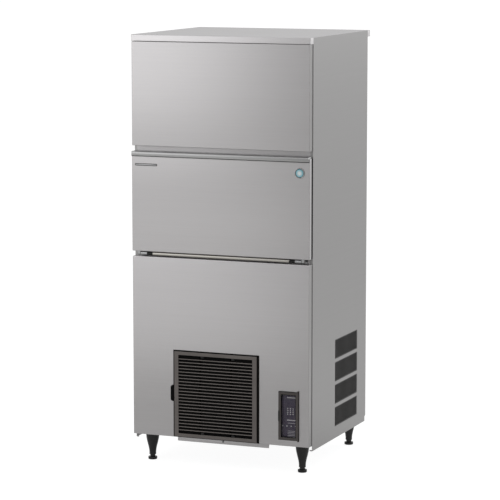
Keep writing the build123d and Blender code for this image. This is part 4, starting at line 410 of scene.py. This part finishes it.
def moulded(name, colour, rough, grain, depth, sheen=0.5, shade_depths=None, ribs=None, edge=1.0):
    """Moulded plastic: fine noise with cells of grain metres roughens the surface by depth metres.

    The shade depths give two depths: between them the plastic darkens to a twenty-fifth of its colour
    and loses its shine, painted shade of the dark opening.
    edge makes what lies just behind the front face lighter, a painted highlight on the slats' front
    edges.
    ribs gives the middle, offset, half width and front of two upright ribs, which are painted as dark
    as the opening behind their front.
    """
    made, tree = start(name)
    spot = add(tree, "ShaderNodeTexCoord")
    shape = {"Scale": 1 / grain, "Detail": 2.0, "Roughness": 0.5}
    texture = add(tree, "ShaderNodeTexNoise", shape, {"Vector": (spot, "Object")})
    shape = {"Scale": CLOUDS_PER_METRE, "Detail": 3.0, "Roughness": 0.55}
    cloud = add(tree, "ShaderNodeTexNoise", shape, {"Vector": (spot, "Object")})
    inner_range = {"From Min": 0.3, "From Max": 0.7}
    tone = add(
        tree,
        "ShaderNodeMapRange",
        {**inner_range, "To Min": 1 - CLOUD_TONE, "To Max": 1 + CLOUD_TONE},
        {"Value": cloud},
    )
    settings, links = {"IOR": PLASTIC_IOR, "Specular IOR Level": sheen}, {}
    # Painted shade darkens the plastic with depth, and a painted highlight lightens the slats' front
    # edges.
    if shade_depths:
        begin, end = shade_depths
        part = axes_of(tree)
        shown = add(
            tree,
            "ShaderNodeMapRange",
            {"From Min": begin, "From Max": end, "To Min": 1.0, "To Max": OPENING_PAINTED_SHADE},
            {"Value": (part, "Y")},
        )
        edge_highlight = add(
            tree,
            "ShaderNodeMapRange",
            {
                "From Min": begin - EDGE_LIGHT_START,
                "From Max": begin - EDGE_LIGHT_END,
                "To Min": 1.0,
                "To Max": edge,
            },
            {"Value": (part, "Y")},
        )
        tone = add(tree, "ShaderNodeMath", {"operation": "MULTIPLY"}, {0: tone, 1: edge_highlight})
        if ribs:
            middle, offset, half, front = ribs
            either = distance_from(tree, "X", middle)
            off = add(tree, "ShaderNodeMath", {"operation": "SUBTRACT", 1: offset}, {0: either})
            away = add(tree, "ShaderNodeMath", {"operation": "ABSOLUTE"}, {0: off})
            clear = add(
                tree,
                "ShaderNodeMapRange",
                {"From Min": half, "From Max": half + COLOUR_EDGE, "To Min": 0.0, "To Max": 1.0},
                {"Value": away},
            )
            before = add(
                tree,
                "ShaderNodeMapRange",
                {"From Min": front - COLOUR_EDGE, "From Max": front, "To Min": 1.0, "To Max": 0.0},
                {"Value": (part, "Y")},
            )
            open_part = add(tree, "ShaderNodeMath", {"operation": "MAXIMUM"}, {0: clear, 1: before})
            shown = add(tree, "ShaderNodeMath", {"operation": "MULTIPLY"}, {0: shown, 1: open_part})
        tone = add(tree, "ShaderNodeMath", {"operation": "MULTIPLY"}, {0: tone, 1: shown})
        shine = add(tree, "ShaderNodeMath", {"operation": "MULTIPLY", 1: sheen}, {0: shown})
        settings, links = {"IOR": PLASTIC_IOR}, {"Specular IOR Level": shine}
    plastic = {"operation": "SCALE", 0: linear(colour)[:3]}
    pigment = add(tree, "ShaderNodeVectorMath", plastic, {"Scale": tone})
    gloss = add(
        tree,
        "ShaderNodeMapRange",
        {**inner_range, "To Min": rough - GRAIN_GLOSS, "To Max": rough + GRAIN_GLOSS},
        {"Value": texture},
    )
    relief = add(tree, "ShaderNodeBump", {"Strength": 0.5, "Distance": depth}, {"Height": texture})
    finish(tree, settings, {"Base Color": pigment, "Roughness": gloss, "Normal": relief, **links})
    return made


# Between these depths the louvre and the cover are painted dark, as shade in their openings; the
# louvre's slat edges are painted 3.2 times lighter, as highlight.
LOUVRE_SHADE_DEPTHS = (-0.3311, -0.3304)
LOUVRE_RIBS = (-0.0155, 0.061, 0.0022, -0.3299)
COVER_SHADE_DEPTHS = (-0.3278, -0.3268)

louvre_plastic = moulded(
    "dark grey ABS", LOUVRE_GREY, 0.5, 0.0011, 0.00006, 0.45, LOUVRE_SHADE_DEPTHS, LOUVRE_RIBS, 3.2
)
dress(louvre_plastic, "front_louvre")
cover_plastic = moulded("dark grey ABS of the cover", COVER_GREY, 0.5, 0.0011, 0.00006, 0.4, COVER_SHADE_DEPTHS)
dress(cover_plastic, "control_cover", "cover_ears")
grille_plastic = moulded("charcoal ABS of the outlets", OUTLET_GREY, 0.6, 0.0012, 0.00006, 0.4)
dress(grille_plastic, "side_vent_grilles")
black_plastic = moulded("black polypropylene", PLASTIC_BLACK, 0.5, 0.001, 0.00006, 0.3)
dress(black_plastic, "control_housing", "hinge_bushes", "fan_blade", "pump_motor", "actuator_motor")


# Air filter: a frame of black polypropylene that carries a sheet of woven polyester net.
# Threads cross 1.6 mm apart, and the net reads as a dark weave.
THREAD_STEP = 0.0016
WEAVE_DEPTH = 0.0003
YARN_BLACK = "#0E0E0E"

net, tree = start("black filter net")
part = axes_of(tree)
threads = []
for side in ("X", "Z"):
    waves = {"operation": "MULTIPLY", 1: 2 * math.pi / THREAD_STEP}
    turn = add(tree, "ShaderNodeMath", waves, {0: (part, side)})
    threads.append(add(tree, "ShaderNodeMath", {"operation": "COSINE"}, {0: turn}))
weave = add(tree, "ShaderNodeMath", {"operation": "MAXIMUM"}, dict(enumerate(threads)))
lift = add(
    tree,
    "ShaderNodeMapRange",
    {"From Min": -0.6, "From Max": 1.0, "To Min": 0.15, "To Max": 1.0},
    {"Value": weave},
)
polyester = {"operation": "SCALE", 0: linear(YARN_BLACK)[:3]}
yarn = add(tree, "ShaderNodeVectorMath", polyester, {"Scale": lift})
relief = add(tree, "ShaderNodeBump", {"Strength": 0.6, "Distance": WEAVE_DEPTH}, {"Height": weave})
finish(
    tree,
    {"Roughness": 0.8, "IOR": 1.5, "Specular IOR Level": 0.1},
    {"Base Color": yarn, "Normal": relief},
)
dress(net, "air_filter")


# Control pane: a plate of smoked acrylic, glossy on both faces, set in the hinged cover.
# Faint smears a finger wide vary its gloss.
ACRYLIC_SMOKE = "#1B1820"
ACRYLIC_IOR = 1.49
SMEARS_PER_METRE = 60.0

pane, tree = start("smoked acrylic")
spot = add(tree, "ShaderNodeTexCoord")
smear_shape = {"Scale": SMEARS_PER_METRE, "Detail": 3.0}
smear = add(tree, "ShaderNodeTexNoise", smear_shape, {"Vector": (spot, "Object")})
gloss = add(
    tree,
    "ShaderNodeMapRange",
    {"From Min": 0.0, "From Max": 1.0, "To Min": 0.05, "To Max": 0.12},
    {"Value": smear},
)
finish(
    tree,
    {"Base Color": linear(ACRYLIC_SMOKE), "IOR": ACRYLIC_IOR, "Alpha": 0.15},
    {"Roughness": gloss},
)
dress(pane, "control_pane")


# Keypad: a polyester film, screen-printed in pale ink over dark violet, stuck to its plate.
# Its print is bars, small squares and four round keys, each a thin raised plate of ink.
FILM_VIOLET = "#5A5266"
INK_WHITE = "#F4F2F6"
KEY_FACE = -319.3
DISPLAY_FACE = -319.1
FILM_FACE = -318.5
INK_SUNK = 0.1
INK_DEPTH = 0.25
FILM_MIDDLE = 281
BAR_HEIGHTS = (204, 288)
LINE_HEIGHTS = (193, 164, 158.5, 153, 147.5, 142)
SQUARE_COLUMNS = (266.5, 277, 287.5)
SQUARE_ROWS = (226, 233, 240, 247)
KEY_COLUMNS = (246.8, 263.5, 280.3, 297.0)
KEY_ROW = 182


def surface(name, forms, material, body, sharp=35.0):
    """One piece from grids of points: neighbours are joined in quads, and a grid may close either way.

    Points that coincide, as at a pole, become one, and the faces are turned outwards.
    """
    corners, faces, count = [], [], 0
    for grid, round_rows, round_columns in forms:
        rows, columns = grid.shape[:2]
        index = np.arange(rows * columns).reshape(rows, columns) + count
        count += rows * columns
        if round_rows:
            index = np.vstack([index, index[:1]])
        if round_columns:
            index = np.hstack([index, index[:, :1]])
        quads = np.stack([index[:-1, :-1], index[:-1, 1:], index[1:, 1:], index[1:, :-1]], axis=-1)
        corners.append(grid.reshape(-1, 3))
        faces.append(quads.reshape(-1, 4))
    mesh = bpy.data.meshes.new(name)
    mesh.from_pydata(np.vstack(corners).tolist(), [], np.vstack(faces).tolist())
    work = bmesh.new()
    work.from_mesh(mesh)
    bmesh.ops.remove_doubles(work, verts=work.verts, dist=1e-6)
    bmesh.ops.recalc_face_normals(work, faces=work.faces)
    work.to_mesh(mesh)
    work.free()
    mesh.shade_smooth()
    mesh.set_sharp_from_angle(angle=math.radians(sharp))
    mesh.materials.append(material)
    made = bpy.data.objects.new(name, mesh)
    bpy.context.scene.collection.objects.link(made)
    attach(made, body)
    return made


def plate(middle, width, height, depth, power=8.0, edge=0.25, steps=32):
    """A flat plate that faces the front, in millimetres, from its back at the middle's y to its face.

    Its rings follow a superellipse, on which the powers of the two half-size shares add up to one.
    Its face is rounded over by an edge: one ring stands in by three tenths of it, the next by all.
    """
    angle = np.linspace(0, 2 * np.pi, steps, endpoint=False)
    across = np.sign(np.cos(angle)) * np.abs(np.cos(angle)) ** (2 / power)
    up = np.sign(np.sin(angle)) * np.abs(np.sin(angle)) ** (2 / power)
    inset = np.array([0.0, 0.0, 0.3 * edge, edge])
    share_x = np.array([0.0, *(1 - 2 * inset / width), 0.0])[:, None]
    share_z = np.array([0.0, *(1 - 2 * inset / height), 0.0])[:, None]
    out = np.array([0.0, 0.0, depth - edge, depth - 0.3 * edge, depth, depth])[:, None]
    x = middle[0] + width / 2 * share_x * across
    y = middle[1] - out + 0 * across
    z = middle[2] + height / 2 * share_z * up
    return np.stack([x, y, z], axis=-1) / 1000, False, True


film = moulded("printed keypad film", FILM_VIOLET, 0.45, 0.0009, 0.00003)
dress(film, "control_keypad")

ink = moulded("pale screen ink", INK_WHITE, 0.5, 0.0008, 0.00002)
film_ink = FILM_FACE + INK_SUNK
display_ink = DISPLAY_FACE + INK_SUNK
key_ink = KEY_FACE + INK_SUNK
marks = [plate((FILM_MIDDLE, film_ink, z), 36, 3.6, INK_DEPTH) for z in BAR_HEIGHTS]
marks += [
    plate((x, display_ink, z), 4.6, 4.2, INK_DEPTH, 3.0, 0.2, 12)
    for x in SQUARE_COLUMNS
    for z in SQUARE_ROWS
]
marks += [plate((FILM_MIDDLE, film_ink, z), 30, 1.6, INK_DEPTH, 8.0, 0.2, 16) for z in LINE_HEIGHTS]
marks += [plate((x, key_ink, KEY_ROW), 5.2, 5.2, INK_DEPTH, 2.0, 0.2, 16) for x in KEY_COLUMNS]
surface("keypad_print", marks, ink, "cabinet")


# Finger strip: a moulding of black polypropylene, 40 mm tall, by which the window is pulled open.
# It is pressed into the cover's left rim and stands 1.3 mm proud of its seat.
FINGER_PLACE = (235.0, -328.2, 219)
finger_strip = plate(FINGER_PLACE, 5.0, 40, 1.3, 6.0, 0.4)
surface("window_finger_strip", [finger_strip], black_plastic, "control_window")


# Louvre clips: four small black catches of polypropylene that hold the slatted insert in its frame.
# Two above and two below, they bridge the gap between the frame and the outermost slats.
CLIP_FACE = -329.4
CLIP_COLUMNS = (-67, 55)
CLIP_ROWS = (127.8, 416.2)
clips = [plate((x, CLIP_FACE, z), 13, 8.0, 2.2, 6.0, 0.5) for x in CLIP_COLUMNS for z in CLIP_ROWS]
surface("louvre_clips", clips, black_plastic, "cabinet")


# Blank strip: thin satin metal, 88 by 9 mm, with a darker border, glued high on the door's left.
# Its face is fine-blasted, with a grain of 1.1 mm, coarser than the real one so that it shows.
STRIP_MIDDLE = (-293.0, -322.5, 1121.5)
STRIP_SIZE = (88.0, 9.0)
STRIP_SUNK = 0.1
STRIP_METAL = "#A3A3A4"
STRIP_BORDER = "#2C2C2C"
BORDER_WIDTH = 0.0018
BORDER_EDGE = 0.0021
GRAINS_PER_METRE = 900.0

strip, tree = start("blank satin strip")
sides = []
for axis, middle, size in zip("XZ", STRIP_MIDDLE[::2], STRIP_SIZE):
    off = distance_from(tree, axis, middle / 1000)
    sides.append(add(tree, "ShaderNodeMath", {"operation": "SUBTRACT", 0: size / 2000}, {1: off}))
inward = add(tree, "ShaderNodeMath", {"operation": "MINIMUM"}, dict(enumerate(sides)))
border = add(
    tree,
    "ShaderNodeMapRange",
    {"From Min": BORDER_WIDTH, "From Max": BORDER_EDGE, "To Min": 0.0, "To Max": 1.0},
    {"Value": inward},
)
spot = add(tree, "ShaderNodeTexCoord")
grain_shape = {"Scale": GRAINS_PER_METRE, "Detail": 2.0}
grain = add(tree, "ShaderNodeTexNoise", grain_shape, {"Vector": (spot, "Object")})
gloss = add(
    tree,
    "ShaderNodeMapRange",
    {"From Min": 0.3, "From Max": 0.7, "To Min": 0.34, "To Max": 0.44},
    {"Value": grain},
)
faces = {"data_type": "RGBA", 6: linear(STRIP_BORDER), 7: linear(STRIP_METAL)}
face = add(tree, "ShaderNodeMix", faces, {0: border}), 2
finish(tree, {}, {"Base Color": face, "Metallic": border, "Roughness": gloss})
strip_place = (STRIP_MIDDLE[0], STRIP_MIDDLE[1] + STRIP_SUNK, STRIP_MIDDLE[2])
blank_strip = plate(strip_place, *STRIP_SIZE, 0.8, 12.0, 0.3, 48)
surface("blank_name_strip", [blank_strip], strip, "door")


# Badge: a blank disc under a clear dome, in a bright chromed rim, stuck high on the door's right.
# Its rings go by their distance from the middle: the pale blue dome, white in its middle as a painted
# highlight, a dark gap, the rim from 16 mm and a dark line round it, a painted shadow. Flakes in its
# coat are drawn 1.4 mm wide.
BADGE_PLACE = (0.3118, 1.113)
RIM_CHROME = "#E6E8EA"
RIM_PAINTED_SHADOW = "#30363A"
GAP_BLUE = "#10222C"
DOME_PAINTED_GLINT = "#F2FBFD"
DOME_BLUE = "#74BFCF"
GLINT_FADE = (0.004, 0.0135)
GAP_START = (0.014, 0.0146)
RIM_START = (0.0162, 0.0165)
SHADOW_START = (0.0182, 0.0185)
RIM_MIDDLE = 0.0176
RIM_HALF = 0.0015
RIM_RISE = 0.0011
FLAKES_PER_METRE = 700.0

badge, tree = start("domed blank badge")
part = axes_of(tree)
squares = []
for axis, middle in zip("XZ", BADGE_PLACE):
    off = add(tree, "ShaderNodeMath", {"operation": "SUBTRACT", 1: middle}, {0: (part, axis)})
    squares.append(add(tree, "ShaderNodeMath", {"operation": "MULTIPLY"}, {0: off, 1: off}))
total = add(tree, "ShaderNodeMath", {"operation": "ADD"}, dict(enumerate(squares)))
away = add(tree, "ShaderNodeMath", {"operation": "SQRT"}, {0: total})
dome_glint, gap, chrome, line = (
    add(
        tree,
        "ShaderNodeMapRange",
        {"From Min": near, "From Max": far, "To Min": 0.0, "To Max": 1.0},
        {"Value": away},
    )
    for near, far in (GLINT_FADE, GAP_START, RIM_START, SHADOW_START)
)
# The dome's white middle is a painted highlight.
domes = {"data_type": "RGBA", 6: linear(DOME_PAINTED_GLINT), 7: linear(DOME_BLUE)}
face = add(tree, "ShaderNodeMix", domes, {0: dome_glint}), 2
# The dark line round the rim is a painted shadow.
for reached, colour in ((gap, GAP_BLUE), (chrome, RIM_CHROME), (line, RIM_PAINTED_SHADOW)):
    beyond = {"data_type": "RGBA", 7: linear(colour)}
    face = add(tree, "ShaderNodeMix", beyond, {0: reached, 6: face}), 2
spot = add(tree, "ShaderNodeTexCoord")
flake_shape = {"Scale": FLAKES_PER_METRE, "Detail": 2.0}
flakes = add(tree, "ShaderNodeTexNoise", flake_shape, {"Vector": (spot, "Object")})
gloss = add(
    tree,
    "ShaderNodeMapRange",
    {"From Min": 0.3, "From Max": 0.7, "To Min": 0.12, "To Max": 0.2},
    {"Value": flakes},
)
# The rim is half round: its rise falls off as a parabola on both sides of its middle.
off = add(tree, "ShaderNodeMath", {"operation": "SUBTRACT", 1: RIM_MIDDLE}, {0: away})
share = add(tree, "ShaderNodeMath", {"operation": "DIVIDE", 1: RIM_HALF}, {0: off})
square = add(tree, "ShaderNodeMath", {"operation": "MULTIPLY"}, {0: share, 1: share})
held = add(tree, "ShaderNodeMath", {"operation": "MINIMUM", 1: 1.0}, {0: square})
round_rim = add(tree, "ShaderNodeMath", {"operation": "MULTIPLY", 1: -RIM_RISE}, {0: held})
bulge = add(tree, "ShaderNodeBump", {"Strength": 1.0, "Distance": 1.0}, {"Height": round_rim})
finish(
    tree,
    {"Coat Weight": 0.6, "Coat Roughness": 0.04},
    {"Normal": bulge, "Base Color": face, "Metallic": chrome, "Roughness": gloss},
)
dress(badge, "door_badge")


# Legs: black nylon mouldings that narrow to the ankle, bored for the foot's screw.
# The flank's radius is the cubic of the height through four radii measured on the photographed leg.
NYLON_BLACK = "#0A0A0A"
LEG_PLACES = [(-0.3013, -0.2577), (0.3013, -0.2577), (-0.3013, 0.2565), (0.3013, 0.2565)]
LEG_TOP = 107
LEG_FOOT = 19
LEG_HEIGHTS = [LEG_TOP, 64, 39, LEG_FOOT]
LEG_RADII = [23.4, 19.8, 14.0, 13.0]
LEG_HEAD = 22.6
LEG_BORE = 8.06
BORE_TOP = 98


def turned(profile, place, sides=48):
    """A form turned about Z: each (radius, height) of the profile, in millimetres, becomes a ring."""
    radius, height = (np.array(profile).T / 1000)[:, :, None]
    angle = np.linspace(0, 2 * np.pi, sides, endpoint=False)[None, :]
    x = place[0] + radius * np.cos(angle)
    y = place[1] + radius * np.sin(angle)
    z = place[2] + height + 0 * angle
    return np.stack([x, y, z], axis=-1), False, True


nylon = moulded("black nylon", NYLON_BLACK, 0.2, 0.0013, 0.00002, 0.4)
flank_z = np.linspace(LEG_TOP, LEG_FOOT, 24)
flank_r = np.polyval(np.polyfit(LEG_HEIGHTS, LEG_RADII, 3), flank_z)
flank = zip(flank_r, flank_z - 0.01)
bore = [(LEG_BORE, LEG_FOOT), (LEG_BORE, BORE_TOP), (0, BORE_TOP)]
leg_profile = [(0, LEG_TOP), (LEG_HEAD, LEG_TOP), *flank, *bore]
legs = surface(
    "leg_mouldings",
    [turned(leg_profile, (x, y, 0.0)) for x, y in LEG_PLACES],
    nylon,
    "cabinet",
)
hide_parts("legs")


# Feet: a pad of the same nylon moulded round a steel screw; each screws up into its leg.
# The pad's edges are quarter circles of 2.5 mm, and the collar on it carries the screw.
PAD_RADIUS = 14.5
PAD_ROUND = 2.5
PAD_TOP = 8.5
COLLAR_RADIUS = 9.75
COLLAR_TOP = 18.7
STEM_RADIUS = 8.0
PAD_EDGE = np.linspace(0, np.pi / 2, 6)
SCREW_FOOT = 18.6
SCREW_TOP = 72.0
SCREW_POINT = 72.4
POINT_LENGTH = 1.5
SCREW_LENGTH = 0.0533
THREAD_CREST = 7.9
THREAD_DEPTH = 1.0
THREAD_PITCH = 2.0
THREAD_SIDES = 32

for short, long_name, (x, y) in zip(
    ("fl", "fr", "rl", "rr"),
    ("foot_front_left", "foot_front_right", "foot_rear_left", "foot_rear_right"),
    LEG_PLACES,
):
    lower = [
        (PAD_RADIUS + PAD_ROUND * math.sin(a), PAD_ROUND - PAD_ROUND * math.cos(a)) for a in PAD_EDGE
    ]
    upper = [
        (PAD_RADIUS + PAD_ROUND * math.cos(a), PAD_TOP + PAD_ROUND * math.sin(a)) for a in PAD_EDGE
    ]
    collar = [(COLLAR_RADIUS, PAD_TOP + PAD_ROUND), (COLLAR_RADIUS, COLLAR_TOP)]
    seat = [(STEM_RADIUS, COLLAR_TOP), (0, COLLAR_TOP)]
    pad = turned([(0, 0), *lower, *upper, *collar, *seat], (x, y, 0.0))
    foot = surface(f"{long_name}_pad", [pad], nylon, f"foot_{short}")
    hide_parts(long_name)
    # Thread: the radius falls in a straight line either way from a crest that climbs a pitch a turn.
    height = np.arange(SCREW_FOOT, SCREW_TOP, THREAD_PITCH / 6)[:, None]
    angle = np.linspace(0, 2 * np.pi, THREAD_SIDES, endpoint=False)[None, :]
    turn = np.mod(height / THREAD_PITCH - angle / (2 * np.pi), 1.0)
    taper = np.clip((SCREW_POINT - height) / POINT_LENGTH, 0, 1)
    radius = (THREAD_CREST - THREAD_DEPTH * np.abs(2 * turn - 1)) * taper
    screw_x = x + radius * np.cos(angle) / 1000
    screw_y = y + radius * np.sin(angle) / 1000
    stem = np.stack([screw_x, screw_y, height / 1000 + 0 * angle], axis=-1)
    ring = np.ones((1, THREAD_SIDES))
    ends = np.stack([x * ring, y * ring, SCREW_FOOT / 1000 * ring], axis=-1)
    stem = np.concatenate([ends, stem, ends + np.array([0, 0, SCREW_LENGTH])])
    surface(f"{long_name}_screw", [(stem, False, True)], top_sheet, f"foot_{short}", 60.0)


# Rear panels, base pan, deck and electrical box: galvanised sheet.
# Hot dipping leaves flat zinc crystals, here 12 mm wide, that differ a little in tone and gloss.
ZINC_GREY = "#9FA2A4"
CRYSTAL = 0.012

zinc, tree = start("galvanised sheet")
spot = add(tree, "ShaderNodeTexCoord")
crystal_shape = {"Scale": 1 / CRYSTAL, "Randomness": 1.0}
crystal = add(tree, "ShaderNodeTexVoronoi", crystal_shape, {"Vector": (spot, "Object")})
grey = add(tree, "ShaderNodeRGBToBW", {}, {0: (crystal, "Color")})
tone, gloss = (
    add(
        tree,
        "ShaderNodeMapRange",
        {"From Min": 0.0, "From Max": 1.0, "To Min": least, "To Max": most},
        {"Value": grey},
    )
    for least, most in ((0.9, 1.07), (0.4, 0.54))
)
zinc_coat = {"operation": "SCALE", 0: linear(ZINC_GREY)[:3]}
coat = add(tree, "ShaderNodeVectorMath", zinc_coat, {"Scale": tone})
finish(tree, {"Metallic": 1.0}, {"Base Color": coat, "Roughness": gloss})
dress(zinc, "rear_panel", "rear_cover", "base_pan", "cabinet_deck", "control_box", "fan_shroud")


# Small steel parts: pressed brackets, arms, the ice maker's frame and its cam shaft.
# They are cold-rolled stainless with a smooth grey skin; the hinge bar is ground and a little warmer.
SMALL_STEEL = "#A6A7A8"
BAR_STEEL = "#B3B0AA"
small_steel = stainless("cold-rolled stainless", SMALL_STEEL, 2, 0.3)
dress(small_steel, "hinge_brackets", "hinge_arms", "maker_frame", "cam_shaft", "plate_springs")
bar_steel = stainless("ground hinge bar", BAR_STEEL, 0, 0.3)
dress(bar_steel, "hinge_bar")


# Panel screws: zinc-plated pan heads with a cross recess, one in the front tab and rows on the rear.
# Each head is a grid of rings: the rise is the root of one less the fourth power of the radius's share,
# less the recess near its two arms.
HEAD_ZINC = "#77787A"
HEAD_RADIUS = 3.98
HEAD_RISE = 2.7
HEAD_WALL = 0.25
RECESS_REACH = 2.4
RECESS_HALF = 0.55
RECESS_SLOPE = 0.25
RECESS_DEPTH = 1.5
HEAD_SIDES = 32
TAB_SCREW = (0.0, -291.6, 96.55)
REAR_FACE = 302.5
REAR_COLUMNS = (-327, 0, 327)
REAR_ROWS = (123, 454, 486, 1583)


def screw_head(x, y, z, way):
    """A pan head on a sheet at y that points along way; its recess is deepest in the middle."""
    radius = np.array([HEAD_RADIUS, *np.linspace(HEAD_RADIUS, 0, 15)])[:, None]
    angle = np.linspace(0, 2 * np.pi, HEAD_SIDES, endpoint=False)[None, :]
    across, up = radius * np.cos(angle), radius * np.sin(angle)
    domed = HEAD_RISE * (1 - (radius / HEAD_RADIUS) ** 4) ** 0.5 * (1 - HEAD_WALL)
    rise = domed + HEAD_RISE * HEAD_WALL + 0 * angle
    near = np.minimum(np.abs(across), np.abs(up))
    far = np.maximum(np.abs(across), np.abs(up))
    wall = np.clip((RECESS_HALF - near) / RECESS_SLOPE + 0.5, 0, 1)
    rise -= RECESS_DEPTH * wall * np.clip(1 - far / RECESS_REACH, 0, 1) ** 0.5
    rise[0] = 0
    foot = np.zeros((1, HEAD_SIDES))
    across, up = np.vstack([foot, across]), np.vstack([foot, up])
    rise = np.vstack([foot, rise])
    return np.stack([x + across, y + way * rise, z + up], axis=-1) / 1000, False, True


heads = [screw_head(*TAB_SCREW, -1)]
heads += [screw_head(x, REAR_FACE, z, 1) for x in REAR_COLUMNS for z in REAR_ROWS]
zinc_head = stainless("dull zinc plate", HEAD_ZINC, 2, 0.36)
screws = surface("panel_screw_heads", heads, zinc_head, "cabinet", 50.0)
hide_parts("panel_screws")


# Base tab's face: the stainless tab that hangs below the louvre, held by one screw.
# The CAD tab is about 6 mm too short, so this thin strip stands for its full height.
# The real machine has no such strip.
TAB_PLACE = (0.0, -291.4, 95.4)
tab_strip = plate(TAB_PLACE, 366, 17.8, 0.9, 60.0, 0.3, 64)
surface("base_tab_strip", [tab_strip], frame_sheet, "cabinet")


# Foam: rigid polyurethane blown between the sheets, cream and dull, with small cells where it is cut.
# Cells are drawn 2.2 mm wide, coarser than the real 0.3 mm, so that a close view shows them.
FOAM_CREAM = "#D9CDA2"
foam = moulded("polyurethane foam", FOAM_CREAM, 0.85, 0.0022, 0.0004)
dress(foam, "cabinet_insulation", "top_insulation", "front_insulation", "door_insulation")


# Liners and food-side mouldings: white ABS and polypropylene, injection-moulded, with a soft shine.
# The liners lie against the foam; the pan, guide, paddle, plate and tank belong to the ice maker.
LINER_WHITE = "#DADFE0"
liner = moulded("white ABS liner", LINER_WHITE, 0.34, 0.004, 0.00003)
dress(liner, "bin_liner", "door_liner", "drain_pan", "cube_guide", "ice_level_paddle")
dress(liner, "water_plate", "water_tank")


# Rubber: the door's magnetic gasket, the compressor's feet and the cord grommet.
# It is moulded nitrile rubber, black and matt, and each piece is pressed into its groove or hole.
RUBBER_BLACK = "#141414"
rubber = moulded("black nitrile rubber", RUBBER_BLACK, 0.62, 0.0008, 0.00004, 0.3)
dress(rubber, "door_gasket", "compressor_grommets", "cord_grommet")


# Cooling parts: aluminium fins on copper hairpins, drawn copper pipe, tinned cells, enamelled shells.
# The hairpins' bends stand out past the fins' end plates, 149.6 mm from the condenser's middle.
PIPE_COPPER = "#C0764E"
FIN_GREY = "#B9BBBD"
TIN_GREY = "#BFC0BE"
ENAMEL_BLACK = "#101010"
COPPER_BENDS = (PIPE_COPPER, "X", -0.0155, 0.1496)
copper = stainless("drawn copper", PIPE_COPPER, 0, 0.3)
dress(copper, "discharge_pipe")
fins = stainless("aluminium fins on copper tube", FIN_GREY, 2, 0.35, second=COPPER_BENDS)
dress(fins, "condenser")
tin = stainless("tinned copper cells", TIN_GREY, 2, 0.28)
dress(tin, "evaporator")
enamel = moulded("black stoved enamel", ENAMEL_BLACK, 0.3, 0.003, 0.00004)
dress(enamel, "compressor", "fan_motor")


# Water valve and drain: plain mouldings that sit behind the rear cover, with their ends out through it.
# The valve is natural nylon, cream white; the drain is grey PVC.
NYLON_CREAM = "#D8D6CC"
PVC_GREY = "#6F7274"
nylon_white = moulded("natural nylon", NYLON_CREAM, 0.42, 0.002, 0.00003)
dress(nylon_white, "water_inlet")
pvc = moulded("grey PVC", PVC_GREY, 0.45, 0.002, 0.00003)
dress(pvc, "drain_fitting")
